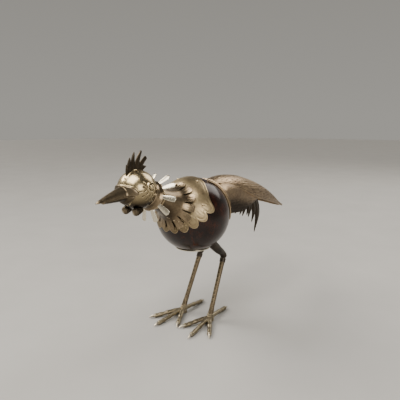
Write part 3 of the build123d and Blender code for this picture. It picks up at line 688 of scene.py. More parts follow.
def slot_cutter(side):
    """The room in the nut that a thigh swings through."""
    lean = np.array([KNEE[1], KNEE[2] - HIP_Z])
    lean /= np.linalg.norm(lean)
    across = np.array([-lean[1], lean[0]])
    hip = np.array([0, HIP_Z])
    near, near_half, far, far_half, wide_half = 3, 3.9, 24, 5.7, 4.1
    outline = ((near, -near_half), (far, -far_half), (far, far_half), (near, near_half))
    corners = [hip + lean * d + across * w for d, w in outline]
    points = [(side * x, y, z) for x in (LEG_X - wide_half, LEG_X + wide_half) for y, z in corners]
    faces = [[0, 1, 2, 3], [7, 6, 5, 4]] + [[k, k + 4, (k + 1) % 4 + 4, (k + 1) % 4] for k in range(4)]
    mesh = bpy.data.meshes.new("cutter")
    mesh.from_pydata([[c * MM for c in p] for p in points], [], faces)
    settle(mesh, 0.001, None)
    cutter = placed("cutter", mesh)
    soften(cutter, 2.6, segments=6, angle=radians(30))
    return cutter


def cut_slots(obj):
    """Cuts both thigh slots out of a piece for good."""
    cutters = [slot_cutter(side) for side in (1, -1)]
    for cutter in cutters:
        hole = obj.modifiers.new("Slot", "BOOLEAN")
        hole.operation, hole.object, hole.solver = "DIFFERENCE", cutter, "EXACT"
    graph = bpy.context.evaluated_depsgraph_get()
    mesh = bpy.data.meshes.new_from_object(obj.evaluated_get(graph))
    obj.modifiers.clear()
    obj.data = mesh
    mesh.set_sharp_from_angle(angle=radians(35))
    for cutter in cutters:
        bpy.data.objects.remove(cutter)


def make_nut():
    """The hollow nut, very slightly uneven as a grown thing is."""
    rise = np.linspace(0.02, pi - 0.02, 150)[:, None]
    turn = np.linspace(0, 2 * pi, 260, endpoint=False)[None]
    ball = joined(np.sin(rise) * np.cos(turn), np.sin(rise) * np.sin(turn), np.cos(rise))
    swell = 0.05 * np.sin(3 * turn + 1.0) * np.sin(rise) ** 3
    swell = swell + 0.05 * np.sin(2.5 * rise + 2 * turn) * np.sin(rise) ** 2
    wall = 2.8
    outer = NUT + ball * (NUT_R - 0.12 + swell)[..., None]
    inner = NUT + ball * (NUT_R - wall)
    surface = Surface().grid(outer, wrap=True, caps=True)
    skin = surface.count
    surface.grid(inner, wrap=True, caps=True)
    surface.faces = [face if min(face) < skin else face[::-1] for face in surface.faces]
    nut = piece("nut", surface, "body", "polished_nut", NUT_WOOD, nodes=["nut_shell"])
    cut_slots(nut)
    return nut


def make_belly_plate():
    """A thin dish under the nut with a rolled lip."""
    half = radians(27.2)
    t = np.linspace(0.004, half, 34)
    outer = [(PLATE_R * sin(a), -PLATE_R * cos(a)) for a in t]
    lip_at = np.array([(NUT_R + 0.45) * sin(half), -(NUT_R + 0.45) * cos(half)])
    lip = [tuple(lip_at + 0.5 * np.array([sin(half + a), -cos(half + a)])) for a in np.linspace(0.3, 2.4, 8)]
    inner = [((NUT_R + 0.02) * sin(a), -(NUT_R + 0.02) * cos(a)) for a in t[::-3]]
    profile = [(r, z + NUT[2]) for r, z in outer + lip + inner]
    surface = lathe(Surface(), profile, ((0, 0, 0), (0, 0, 1), (1, 0, 0)), 160)
    dish = piece("belly_plate", surface, "body", "bright_silver", SILVER)
    cut_slots(dish)
    return dish


def make_screws():
    """Two slotted cheese-head screws under the dish, in the dark thigh metal as painted shade."""
    low, high = node_box("belly_screws")
    surface = Surface()
    y = (low[1] + high[1]) / 2
    radius = (high[1] - low[1]) / 2
    head = [(0.01, 0.5), (0.9, 0.42), (1.45, 0.16), (radius, 0.4), (radius, 1.4), (0.8, 1.6)]
    profile = [(r, low[2] + z) for r, z in head] + [(0.8, high[2]), (0.01, high[2])]
    for x in (low[0] + radius, high[0] - radius):
        lathe(surface, profile, ((x, y, 0), (0, 0, 1), (1, 0, 0)), 36)
        bar = np.array([[x - 1.2, y, low[2] + 0.42], [x + 1.2, y, low[2] + 0.42]])
        sweep(surface, line_through(bar, 4), 0.16, 0.12, around=8, groove_and_shade=1.0)
    # Painted shade: the steel screws are given the dark thigh metal.
    return piece("belly_screws", surface, "body", "steel", THIGH_METAL)


def make_rivets(name, tilt, side, spots):
    """Small domed rivet heads, each on a thin washer."""
    surface = Surface()
    dome = [(0.01, 0.62), (0.3, 0.59), (0.55, 0.47), (0.72, 0.3), (0.78, 0.14)]
    washer = [(0.9, 0.1), (0.9, -0.2), (0.01, -0.2)]
    for x, u in spots:
        at = on_nut(tilt, side, np.array(float(x)), np.array(float(u)), PLATE_R)
        out = unit(at - NUT)
        across = unit(np.cross(out, (0.3, 0.5, 0.8)))
        lathe(surface, dome + washer, (at, out, across), 28)
    return piece(name, surface, "body", "gilt_plate", GILT_PLATE)


make_nut()
make_breast_plate()
make_rump_mount()
make_belly_plate()
make_screws()
make_rivets("breast_rivets", BREAST_TILT, -1, [(-20.5, -2), (20.5, -2), (-9, 15.5), (9, 15.5)])
make_rivets("rump_rivets", RUMP_TILT, 1, [(-20, -5), (20, -5), (-13, 14), (13, 14)])


# ---- Neck: collar and ruff ----


def neck_at(s, r, turn):
    """The point s along the neck from the nut's centre, r off its axis, at an angle around it."""
    s, r, turn = np.broadcast_arrays(s, r, turn)
    ring = np.cos(turn)[..., None] * ACROSS + np.sin(turn)[..., None] * NECK_UP
    return NUT + s[..., None] * NECK + r[..., None] * ring


COLLAR_TONGUES = 13
SLIT_START = 0.60
COLLAR_R = (7.2, 8.3, 9.4, 11.2, 14.2, 17.8)
COLLAR_S = (COLLAR_TOP, 38.0, 33.4, 29.4, 26.1, 23.6)


def make_collar():
    """A slim trumpet, darkened over its narrow part as painted shade, that opens into thirteen rounded tongues
    lying on the breast plate.
    """
    surface = Surface()
    step = 2 * pi / COLLAR_TONGUES
    knots = np.linspace(0, 1, len(COLLAR_R))
    a = np.sin(np.linspace(-pi / 2, pi / 2, 25))[None]
    t = np.linspace(0, 1, 90)[:, None]
    for k in range(COLLAR_TONGUES):
        end = 1 - 0.075 * a**4
        open_part = SLIT_START + (end - SLIT_START) * (t - SLIT_START) / (1 - SLIT_START)
        place = np.where(t > SLIT_START, open_part, t)
        r = through(place, knots, COLLAR_R)
        s = through(place, knots, COLLAR_S)
        open_share = np.clip((place - SLIT_START) / (1 - SLIT_START), 0, 1)
        gap = 2.7 * open_share**0.6 * (1 - 0.25 * open_share)
        half = step / 2 - gap / 2 / r
        turn = step * k + half * a
        pillow = 0.12 * open_share * (1 - a**2)
        points = neck_at(s, r, turn)
        points = points + unit(points - NUT) * pillow[..., None]
        rib = hill(a, 0, 0.10) * smoothstep(0.15, 0.4, open_share)
        rib = rib * smoothstep(0.97, 0.7, open_share)
        points = points - unit(points - NUT) * (0.10 * rib)[..., None]
        # Painted shade: the trumpet's narrow part is darkened, and made a little rougher with it.
        shaded_and_dull = 0.30 * smoothstep(0.74, 0.5, place)
        surface.grid(points, np.maximum(0.35 * rib, shaded_and_dull))
    inside = NUT + 34 * NECK
    return piece("neck_collar", surface, "body", "gilt_plate", CONE_METAL, 0.5, inside, 0.08, weld=0.03)


def make_collar_ring():
    """The turned ring that closes the collar's top under the ruff."""
    s = COLLAR_TOP
    turned = [(5.6, 0), (7.25, 0), (7.6, 0.25), (7.7, 0.7), (7.5, 1.1), (7.1, 1.3), (5.6, 1.2)]
    surface = lathe(Surface(), [(r, s - down) for r, down in turned], (NUT, NECK, ACROSS), 72)
    return piece("collar_ring", surface, "body", "gilt_plate", GILT_PLATE, nodes=[])


RUFF_PETALS = 10
RUFF_TURN = radians(2)
BENT_PETAL = 2
BENT_BY = radians(7)


def make_ruff():
    """Ten blunt bright strips that lean back from behind the head."""
    surface = Surface()
    for k in range(RUFF_PETALS):
        turn = 2 * pi * k / RUFF_PETALS + RUFF_TURN - BENT_BY * (k == BENT_PETAL)
        ring = cos(turn) * ACROSS + sin(turn) * NECK_UP
        spots = [(52.0, 8.2), (50.9, 9.8), (49.2, 12.6), (47.7, 15.1), (46.35, 17.3)]
        path = line_through([NUT + s * NECK + r * ring for s, r in spots], 26)
        t = np.linspace(0, 1, 26)
        tip = np.sqrt(np.clip(1 - ((t - 0.86) / 0.14).clip(0, 1) ** 3, 0.03, 1))
        width = (1.15 + 0.75 * smoothstep(0, 0.8, t)) * tip
        face = 0.45 * ring + 0.9 * NECK
        blade(surface, path, width, face, thick=0.55, cup=0.12)
    return piece("ruff", surface, "head", "bright_silver", SILVER)


def make_ruff_cup():
    """The flared cup that the ruff's strips spring from."""
    flare = [(6.85, 56.0), (7.7, 55.7), (8.15, 54.6), (8.3, 53.4), (8.9, 52.2), (9.9, 51.2)]
    foot_rim = [(10.3, 50.6), (10.0, 50.2), (9.2, 50.3), (6.85, 50.6)]
    surface = lathe(Surface(), flare + foot_rim, (NUT, NECK, ACROSS), 96)
    return piece("ruff_cup", surface, "head", "gilt_head", CONE_METAL, nodes=[])


make_collar()
make_collar_ring()
make_ruff()
make_ruff_cup()


# ---- Head ----

EYE = np.array([(a + b) / 2 for a, b in zip(*node_box("eye_left"))])
EYE_TIP = node_box("eye_left")[1][0]


def head_marks(points):
    """Drop-shaped cuts fanned below and before each eye, and a second, wider fan on the cheek."""
    forward, up = -(points[..., 1] - EYE[1]), points[..., 2] - EYE[2]
    spots = []
    for turn in range(-128, 36, 27):
        spots.append((4.0 * cos(radians(turn)), 4.0 * sin(radians(turn)), turn))
    for turn in range(-112, -10, 24):
        spots.append((6.6 * cos(radians(turn)), 6.6 * sin(radians(turn)), turn))
    side = np.abs(points[..., 0] - HEAD[0]) > 4.0
    return drops(forward, up, spots, length=2.1, width=0.55) * side


def make_head():
    """A polished ball, open at the back for the neck."""
    turn = np.linspace(0, 2 * pi, 260, endpoint=False)[None]
    rise = np.linspace(radians(33), radians(179.6), 150)[:, None]
    ring = np.cos(turn)[..., None] * ACROSS + np.sin(turn)[..., None] * NECK_UP
    ball = -np.cos(rise)[..., None] * NECK + np.sin(rise)[..., None] * ring
    points = HEAD + HEAD_R * ball
    marks = head_marks(points)
    seam_at = radians(52)
    seam = hill(rise, seam_at, 0.012)
    depth = 0.30 * marks + 0.10 * seam - 0.08 * smoothstep(seam_at, radians(50.5), rise)
    points = HEAD + (HEAD_R - 0.06 - depth)[..., None] * ball
    surface = Surface().grid(points, np.maximum(marks, 0.5 * seam), wrap=True)
    return piece("head", surface, "head", "gilt_head", GILT_HEAD, 0.9, HEAD, nodes=["head_shell"])


def make_eye(name, side):
    """A raised ring round a bright dome."""
    at = np.array([0, EYE[1], EYE[2]])
    top = EYE_TIP
    root = 9.5
    seat = [(2.0, root), (3.5, 10.2), (3.62, 11.0)]
    ring = [(3.5, 1.9), (3.2, 1.3), (2.75, 1.1), (2.4, 1.35), (2.25, 1.8)]
    dome = [(2.05, 2.0), (1.98, 1.5), (1.75, 0.85), (1.3, 0.36), (0.7, 0.08), (0.01, 0)]
    profile = seat + [(r, top - down) for r, down in ring + dome] + [(0.01, root)]
    groove_and_shade = np.array([0, 0, 0.3, 0.1, 0, 0, 0.4, 1, 1, 0.5, 0, 0, 0, 0, 0, 0])[:, None]
    surface = lathe(Surface(), profile, (at, (side, 0, 0), (0, 0, 1)), 48, groove_and_shade)
    return piece(name, surface, "head", "gilt_head", GILT_HEAD)


def beak_ring(turn):
    """The beak's root on the head's ball. Angle 0 is +X and 90 degrees is the top."""
    upper = through(np.clip(np.sin(turn), 0, 1), [0, 0.35, 0.75, 1.0], np.radians([51, 40, 25, 19]))
    lower = through(np.clip(-np.sin(turn), 0, 1), [0, 0.35, 0.75, 1.0], np.radians([51, 44, 38, 36]))
    open_angle = np.where(np.sin(turn) >= 0, upper, lower)
    side = np.cos(turn)
    over = np.sign(np.sin(turn)) * np.sqrt(np.clip(1 - side**2, 0, 1))
    direction = joined(np.sin(open_angle) * side, -np.cos(open_angle), np.sin(open_angle) * over)
    return HEAD + (HEAD_R + 0.02) * unit(direction)


BEAK_Y = (-73.6, -75.6, -78.5, -82.0, -86.0, -90.0, -92.8, -94.1)
BEAK_W = (5.8, 5.0, 4.35, 3.65, 2.8, 1.95, 1.2, 0.35)
BEAK_TOP = (115.75, 115.25, 114.45, 113.35, 112.05, 110.55, 109.45, 108.65)
BEAK_LOW = (107.0, 106.9, 106.9, 107.0, 107.2, 107.4, 107.6, 107.95)
BEAK_TIP = node_box("beak_upper")[0][1]


def beak_rows(turn, count):
    """Sections of the whole horn from its root on the head to its tip."""
    root = beak_ring(turn)
    rows = [root, root + np.array([0, -0.55, 0]) + unit(root - HEAD) * 0.35]
    for y, w, top, low in zip(BEAK_Y, BEAK_W, BEAK_TOP, BEAK_LOW):
        middle = low + 0.42 * (top - low)
        height = np.where(np.sin(turn) >= 0, top - middle, middle - low)
        x = w * np.cos(turn) * (1 - 0.10 * np.abs(np.sin(turn)))
        rows.append(joined(x, y, middle + height * np.sin(turn)))
    rows = np.array(rows)
    knots = np.array([0, 0.5, 3.0, 5.2, 8.2, 11.8, 15.8, 19.8, 22.6, 23.8])
    fine = np.concatenate([np.linspace(0, 0.5, 5)[:-1], np.linspace(0.5, knots[-1], count)])
    flat = through(fine, knots, rows.reshape(len(rows), -1))
    return flat.reshape(len(fine), len(turn), 3)


def make_beak():
    """The long arched horn and, under it, a narrower lower half."""
    turn = np.radians(np.linspace(-9, 189, 60))
    points = beak_rows(turn, 80)
    surface = Surface().grid(points, wrap=True, caps=True)
    piece("beak_upper", surface, "head", "gilt_beak", BEAK_METAL)
    turn = np.radians(np.linspace(195, 345, 44))
    points = beak_rows(turn, 80)[:66]
    axis = points.mean(1, keepdims=True)
    points = axis + (points - axis) * np.array([0.90, 1.0, 1.0])
    points[4:, :, 2] -= 0.12
    # Painted shade: the lower half is darkened by a quarter, under the upper horn.
    surface = Surface().grid(points, 0.25, wrap=True, caps=True)
    piece("beak_lower", surface, "head", "gilt_beak", BEAK_METAL)


def make_cuff():
    """A raised bright bead where the horn's hood meets the face."""
    turn = np.radians(np.linspace(2, 178, 70))
    root = beak_ring(turn)
    path = HEAD + (root - HEAD) * 1.012
    taper = 0.42 * np.sqrt(np.clip(np.sin(np.linspace(0.06, pi - 0.06, 70)) * 2.2, 0, 1))
    surface = sweep(Surface(), path, taper, taper, (0.02, -1, 0.05), 12)
    return piece("beak_cuff", surface, "head", "gilt_head", GILT_HEAD, nodes=[])


COMB_LEAVES = (
    ((-67.4, 119.6), (-68.0, 124.4), (-68.5, 128.9), 1.35, 0.2),
    ((-65.8, 121.6), (-66.3, 127.6), (-65.4, 133.0), 1.75, 0.16),
    ((-63.4, 122.6), (-63.0, 129.8), (-61.4, 136.2), 1.9, 0.16),
    ((-60.6, 123.2), (-58.5, 130.4), (-54.9, 136.7), 1.9, 0.26),
    ((-58.4, 123.4), (-55.2, 128.2), (-50.6, 132.2), 1.75, 0.72),
    ((-57.4, 122.8), (-54.6, 125.4), (-50.6, 126.2), 1.7, 0.14),
)


def make_comb():
    """A fan of fleshy leaves on a thick root, cast in one."""
    surface = Surface()
    for root, middle, tip, width, blunt in COMB_LEAVES:
        path = line_through([(0, *root), (0, *middle), (0, *tip)], 30)
        t = np.linspace(0, 1, 30)
        shape = 1 - (1 - blunt) * np.clip((t - 0.42) / 0.58, 0, 1) ** 1.15
        shape = shape * np.sqrt(np.clip(1 - ((t - 0.94) / 0.06).clip(0, 1) ** 2, 0.05, 1))
        blade(surface, path, width * shape, (1, 0, 0), thick=1.35, ridge=0.18, veins=1, across=21)
    foot = line_through([(0, -68.0, 120.6), (0, -65.6, 123.6), (0, -61.5, 125.2), (0, -57.0, 124.2)], 24)
    sweep(surface, foot, rounded(24, 0.62, 0.62), rounded(24, 1.9, 2.5), around=20)
    low = line_through([(0, -67.8, 118.6), (0, -64.0, 122.0), (0, -60.0, 124.6)], 20)
    sweep(surface, low, rounded(20, 0.6, 0.6), rounded(20, 1.6, 1.6), around=20)
    return piece("comb", surface, "head", "dark_comb", COMB_METAL, voxel=0.17, smooth=2)


def make_comb_seat():
    """The bright wedge that seats the comb on the crown."""
    path = line_through([(0, -70.2, 119.0), (0, -67.2, 122.3), (0, -63.4, 124.4), (0, -59.6, 124.9)], 30)
    surface = sweep(Surface(), path, rounded(30, 1.9, 1.1), rounded(30, 0.75, 0.75), around=22)
    return piece("comb_seat", surface, "head", "gilt_head", GILT_HEAD, nodes=[])


WATTLE_X = 4.5


def make_wattle(name, side):
    """An oval drop lying under the chin, darkened as painted shade except at its small bright end."""
    x = side * WATTLE_X
    rows, around = 40, 32
    spots = [(x * 0.92, -60.3, 100.6), (x, -62.6, 100.1), (x, -65.2, 99.4), (x, -67.8, 98.9)]
    path = line_through(spots, rows)
    size = rounded(rows, 2.35, 2.7, 0.3, 0.2)

    def pits(t, angle):
        share = smoothstep(0.05, 0.3, t) * smoothstep(0.9, 0.75, t)
        lumps = np.sin(angle * 4 + t * 9) * np.sin(t * 21) * 0.10 * share
        return lumps + 0.18 * hill(t, 0.86, 0.025)

    surface = sweep(Surface(), path, size, size, (0, 0, 1), around, pits)
    # Painted shade: the drop is darkened everywhere but near its end.
    dark = 0.92 * smoothstep(0.97, 0.88, np.linspace(0, 1, rows))
    surface.groove_and_shade[0] = np.maximum(surface.groove_and_shade[0], np.append(np.repeat(dark, around), [0.92, 0.0]))
    stem = line_through([(x * 0.7, -62.0, 104.0), (x * 0.9, -62.6, 101.6), (x, -63.2, 100.2)], 12)
    # Painted shade on the stem.
    sweep(surface, stem, 1.3, 1.3, (0, 1, 0), 18, groove_and_shade=0.92)
    return piece(name, surface, "head", "gilt_beak", BEAK_METAL)


make_head()
make_eye("eye_left", 1)
make_eye("eye_right", -1)
make_beak()
make_cuff()
make_comb()
make_comb_seat()
make_wattle("wattle_left", 1)
make_wattle("wattle_right", -1)


# ---- Tail ----

LAP = 0.3
TAIL_Y = (14, 22, 36, 56, 80, 105, 130, 149, 158, 160.2)
TAIL_RIDGE = (108.6, 109.4, 110.6, 109.0, 102.9, 94.2, 82.4, 71.8, 67.6, 66.7)
TAIL_HALF = (5.0, 7.5, 11.0, 13.0, 12.6, 10.4, 6.8, 3.4, 1.9, 0.9)
TAIL_DROP = (1.4, 2.6, 7.0, 13.0, 16.0, 14.4, 9.2, 4.2, 2.0, 0.8)


def wrap_nut(points, blend=3.2):
    """Lifts points that would sink into the nut onto its plates, with a soft blend where they leave it."""
    rel = points - NUT
    far = np.linalg.norm(rel, axis=-1, keepdims=True)
    limit = PLATE_R + LAP + PLATE_T
    h = np.clip(0.5 + 0.5 * (far - limit) / blend, 0, 1)
    lifted = limit * (1 - h) + far * h + blend * h * (1 - h)
    return NUT + rel / far * lifted


def roof_at(y, a):
    """The roof's skin at y, for a from -1 at its right rim over the ridge to 1 at its left rim."""
    ridge, half, drop = (through(y, TAIL_Y, v) for v in (TAIL_RIDGE, TAIL_HALF, TAIL_DROP))
    radius = (half**2 + drop**2) / (2 * drop)
    spread = np.arctan2(half, radius - drop)
    x = radius * np.sin(a * spread)
    z = ridge - radius + radius * np.cos(a * spread)
    return joined(x, y, z)


def make_roof():
    """The long drooping leaf: short dashes at the front, long slanting vanes behind, a bright rim."""
    y = np.concatenate([np.linspace(TAIL_Y[0], 150, 330), np.linspace(150.4, TAIL_Y[-1], 24)])[:, None]
    a = np.linspace(-1, 1, 121)[None]
    points = roof_at(y, a)
    half_arc = np.linalg.norm(np.diff(points, axis=1), axis=2).sum(1, keepdims=True) / 2
    from_rim = (1 - np.abs(a)) * half_arc
    run = np.append(0, np.cumsum(np.linalg.norm(np.diff(points[:, 60], axis=0), axis=1)))[:, None]
    lean = run - from_rim * 1.6
    front = smoothstep(66, 48, y)
    short = strokes(lean, from_rim, pitch=4.6, dash=3.7, duty=0.62, width=0.085)
    short = short * smoothstep(2.2, 3.2, from_rim)
    vane = run - from_rim * 4.6
    long = strokes(vane, from_rim, pitch=11.0, dash=26.0, duty=0.93, width=0.06)
    fine = strokes(vane + 2.4, from_rim, pitch=3.7, dash=3.4, duty=0.7, width=0.10) * 0.6
    inner = smoothstep(1.6, 2.4, from_rim)
    vanes = np.maximum(short * front, np.maximum(long, fine) * (1 - front)) * inner
    line = hill(from_rim, 1.5, 0.2)
    swell = np.sin(vane / 11.0 * 2 * pi) * 0.10 * (1 - front) * inner
    bead = smoothstep(1.3, 0.7, from_rim)
    blunt = smoothstep(152, 158, y)
    depth = (0.26 * vanes + 0.2 * line - 0.16 * bead + swell) * (1 - blunt)
    points = sunk(points, depth, (0, 60, 80))
    points = wrap_nut(points)
    surface = Surface().grid(points, np.maximum(vanes, 0.8 * line) * (1 - blunt))
    return piece("tail_top_plate", surface, "body", "gilt_tail", GILT_TAIL, 0.6, (0, 60, 70), EDGE_BEVEL)


SKIRT_START = np.array([14.4, 24.0])
SKIRT_LEAN = np.array([-4.6, 66.0]) / sqrt(4.6**2 + 66.0**2)
SKIRT_LOW_L = (-12, -6, 0, 7, 14, 22, 30, 38, 46, 52, 58)
SKIRT_LOW_Z = (88, 84.5, 81.6, 80.6, 80.4, 79.4, 78.8, 78.6, 79.8, 81.5, 84)


def make_skirt(name, side):
    """A bulging side of the tail, from the rump back under the roof, darkened towards its smooth foot as painted
    shade.
    """
    along = np.linspace(-12, 58, 260)[:, None]
    v = np.linspace(0, 1, 90)[None]
    y = SKIRT_START[1] + along * SKIRT_LEAN[1]
    base = SKIRT_START[0] + along * SKIRT_LEAN[0]
    rim = roof_at(np.maximum(y, 22), np.ones_like(y) * 0.93)
    top_x = np.where(y > 30, rim[..., 0] - 0.75, rim[..., 0] - 0.75 - (30 - y) * 0.2)
    top_z = rim[..., 2] + smoothstep(30, 16, y) * -2.0
    low_z = through(along, SKIRT_LOW_L, SKIRT_LOW_Z)
    z = top_z + (low_z - top_z) * v
    foot_x = base - 1.2
    flat = top_x * (1 - v) + foot_x * v
    x = flat + (base + 1.6 - flat) * np.sin(pi * v**0.8) ** 0.75
    points = joined(x, y, z)
    down = top_z - z
    edge = z - low_z
    feathers, lift = scales(down + 1.0, along + down * 0.25, pitch_u=4.8, pitch_v=6.4, width=0.13)
    upper = smoothstep(15, 10, down) * smoothstep(40, 30, along)
    rows = down * 0.9 + along * 0.22
    quills = strokes(rows, along, pitch=2.3, dash=11.0, duty=0.88, width=0.13)
    cut = np.maximum(feathers * upper, quills * (1 - 0.8 * upper)) * smoothstep(0.5, 1.2, edge)
    foot_line = hill(edge, 0.9, 0.2)
    inside = (0, 40, 92)
    points = sunk(points, 0.07 * cut - 0.04 * lift * upper + 0.1 * foot_line, inside)
    points = wrap_nut(points, 4.2)
    # Painted shade: the side darkens towards its foot.
    dark = smoothstep(6, 19, down + 0.10 * along) * 0.97
    marks = np.clip(np.maximum(0.3 * cut, 0.5 * foot_line) + dark, 0, 1)
    surface = Surface().grid(points, marks)
    if side < 0:
        surface = surface.mirrored()
    return piece(name, surface, "body", "gilt_tail", GILT_TAIL, 0.7, inside, EDGE_BEVEL)


def skirt_point(along, z, inward):
    x, y = SKIRT_START + SKIRT_LEAN * along
    return np.array([x - inward, y, z])


SICKLES = (
    ((21, 86), (23.0, 82), (21.6, 78.2), 2.2, 1.2),
    ((28, 87), (30.4, 81.5), (29.0, 76.0), 2.6, 0.4),
    ((34, 88), (37.5, 80.5), (36.2, 73.2), 3.0, 1.3),
    ((40, 89), (43.6, 81.0), (42.6, 73.0), 3.3, 0.2),
    ((45, 90), (48.8, 80.0), (47.6, 70.0), 3.5, 1.0),
    ((50, 90), (55.2, 77.0), (53.0, 64.4), 3.7, 0.1),
    ((55, 90), (61.2, 73.0), (57.6, 54.2), 3.9, -0.6),
)
SHORTEST = 76.0


def make_sickles(name, side):
    """Hanging feathers, each a curved blade with a rib and long chased lines; short ones on the right."""
    surface = Surface()
    for root, middle, tip, width, inward in SICKLES:
        if side < 0:
            middle, tip = (middle[0], max(middle[1], SHORTEST + 5)), (tip[0], max(tip[1], SHORTEST))
        sunken = ((root, 1.4), (middle, 0.2), (tip, 1.6))
        path = line_through([skirt_point(*spot, inward + deeper) for spot, deeper in sunken], 60)
        t = np.linspace(0, 1, 60)
        shape = width * (0.75 + 0.35 * np.sin(pi * np.clip(t * 1.3, 0, 1)) ** 0.8) * (1 - t**3.2) + 0.08
        blade(surface, path, shape, (1, -0.1, 0.1), thick=0.8, cup=0.45, ridge=0.28, veins=2, across=25)
    if side < 0:
        surface = surface.mirrored()
    return piece(name, surface, "body", "dark_feather", FEATHER_METAL)


make_roof()
make_skirt("tail_side_left", 1)
make_skirt("tail_side_right", -1)
make_sickles("sickle_feathers_left", 1)
make_sickles("sickle_feathers_right", -1)


# ---- Legs ----


def both_sides(make, name, slot, look, **options):
    """A leg piece and its mirror image, both on the legs' body."""
    surface = make()
    for side, shape in (("left", surface), ("right", surface.mirrored())):
        piece(f"{name}_{side}", shape, "legs", slot, look, **options)


def thigh():
    """The smooth upper leg: a hub on the hip shaft, a full calf and a bent knee."""
    hip = np.array([LEG_X, 0, HIP_Z])
    bend = unit(FOOT - KNEE)
    surface = Surface()
    spots = [hip + (KNEE - hip) * share for share in (0.0, 0.35, 0.7, 0.93)]
    path = line_through(spots + [KNEE + bend * 1.3 + (0, 0.5, 0)], 60)
    t = np.linspace(0, 1, 60)
    size = 2.35 + 0.75 * np.sin(pi * np.clip(t * 0.9 + 0.1, 0, 1)) ** 1.2
    size = size + 0.35 * hill(t, 0.96, 0.06)
    calf = size + 0.5 * smoothstep(0, 0.3, t) * smoothstep(1.0, 0.55, t)
    sweep(surface, path, calf, size * 1.04, (1, 0, 0), 40)
    bore = 1.55
    hub = [(bore, -3.0), (3.3, -3.0), (3.5, -2.7), (3.5, 2.9), (3.3, 3.2), (bore, 3.2)]
    lathe(surface, hub, (hip, (1, 0, 0), (0, 0, 1)), 40)
    return surface


SHANK_ALONG = unit(FOOT - KNEE)


def shank():
    """The scaly lower leg: a row of pits down its front, fine scale rings, and lumps above the foot."""
    along = SHANK_ALONG
    length = np.linalg.norm(FOOT - KNEE)
    path = line_through([KNEE + along * 2.2, KNEE + along * length * 0.5, FOOT - along * 0.4], 300)
    t = np.linspace(0, 1, 300)
    size = 2.05 - 0.22 * smoothstep(0, 0.45, t) + 0.30 * smoothstep(0.78, 1.0, t)
    front = pi / 2
    pits = 10

    def skin(t, angle):
        turned = (angle - front + pi) % (2 * pi) - pi
        across = turned * 2.0
        cut = 0.0
        for k in range(pits):
            row = 0.125 + 0.073 * k
            spot = ((t - row) * length / 0.68) ** 2 + (across / 0.58) ** 2
            cut = np.maximum(cut, 0.5 * np.exp(-(spot**1.5)))
        rings = np.abs(np.sin(t * length / 1.75 * pi + 0.5 * np.sin(2 * turned)))
        sides = smoothstep(0.35, 0.75, np.abs(turned))
        cut = np.maximum(cut, 0.13 * (1 - rings) ** 2.2 * sides)
        lumps = -0.16 * np.sin(t * 60 + 2 * angle) * np.sin(angle * 3 + 8 * t) * smoothstep(0.7, 0.95, t)
        return cut + lumps

    return sweep(Surface(), path, size, size, np.cross(along, (1, 0, 0)), 48, skin)


def ferrule():
    """A short turned sleeve where the shank enters the knee."""
    side = unit(np.cross(SHANK_ALONG, (0, 0, 1)))
    collar = [(2.0, 2.6), (2.4, 2.7), (2.55, 3.1), (2.42, 3.6), (2.36, 4.6)]
    lip = [(2.42, 5.2), (2.48, 5.6), (2.3, 6.0), (2.0, 6.1)]
    return lathe(Surface(), collar + lip, (KNEE, SHANK_ALONG, side), 48)


KNUCKLES = ((0.30, 0.18), (0.56, 0.32), (0.80, 0.32), (0.96, 0.38))


def toe_line(left, ahead):
    """A toe's start on the hub, its end where the claw begins, and the claw's tip."""
    hub = np.array([FOOT[0], FOOT[1], 3.2])
    tip = np.array([FOOT[0] + left, FOOT[1] - ahead, 1.2])
    length = np.linalg.norm(tip - hub)
    end = hub + (tip - hub) * (1 - CLAW / length)
    return hub, end, tip


def foot():
    """A lumpy hub with knuckled toes, flat where it stands."""
    surface = Surface()
    hub_path = line_through([FOOT - (0, 0, 3.9), FOOT - (0, 0, 1.0), FOOT + (0, 0.1, 2.0)], 20)
    sweep(surface, hub_path, np.linspace(3.0, 2.3, 20), np.linspace(2.9, 2.2, 20), (0, 1, 0), 30)
    for toe in TOES:
        hub, end, _ = toe_line(*toe)
        length = np.linalg.norm(end - hub)
        middle = hub + (end - hub) * 0.45 + (0, 0, 0.35)
        path = line_through([hub, middle, hub + (end - hub) * 0.8, end + (0, 0, 0.05)], 90)
        t = np.linspace(0, 1, 90)
        size = 1.75 - 0.4 * t
        for at, swell in KNUCKLES:
            size = size + swell * hill((t - at) * length, 0, 1.35)
        size = size - 0.16 * (np.abs(np.sin(t * length / 1.3 * pi)) < 0.28)
        sweep(surface, path, size, np.minimum(size, 1.9), (0, 0, 1), 26)
    for turn in range(0, 360, 45):
        a = radians(turn + 12)
        bead = FOOT + np.array([2.5 * cos(a), 2.5 * sin(a), -1.4 + 0.5 * sin(3 * a)])
        blob = line_through([bead - (0, 0, 0.7), bead, bead + (0, 0, 0.8)], 9)
        size = rounded(9, 0.85, 0.8, 0.5, 0.5)
        sweep(surface, blob, size, size, (0, 1, 0), 12)
    for points in surface.points:
        points[:, 2] = np.maximum(points[:, 2], 0.0)
    return surface


def claws():
    """Bright hooked nails."""
    surface = Surface()
    for toe in TOES:
        _, end, tip = toe_line(*toe)
        ahead = unit(tip - end)
        path = line_through([end - ahead * 0.8, end + ahead * 1.6 + (0, 0, 0.25), tip - (0, 0, 0.55)], 24)
        size = 1.2 * (1 - np.linspace(0, 1, 24) ** 1.3) + 0.14
        sweep(surface, path, size * 0.92, size, (0, 0, 1), 20)
    for points in surface.points:
        points[:, 2] = np.maximum(points[:, 2], 0.12)
    return surface


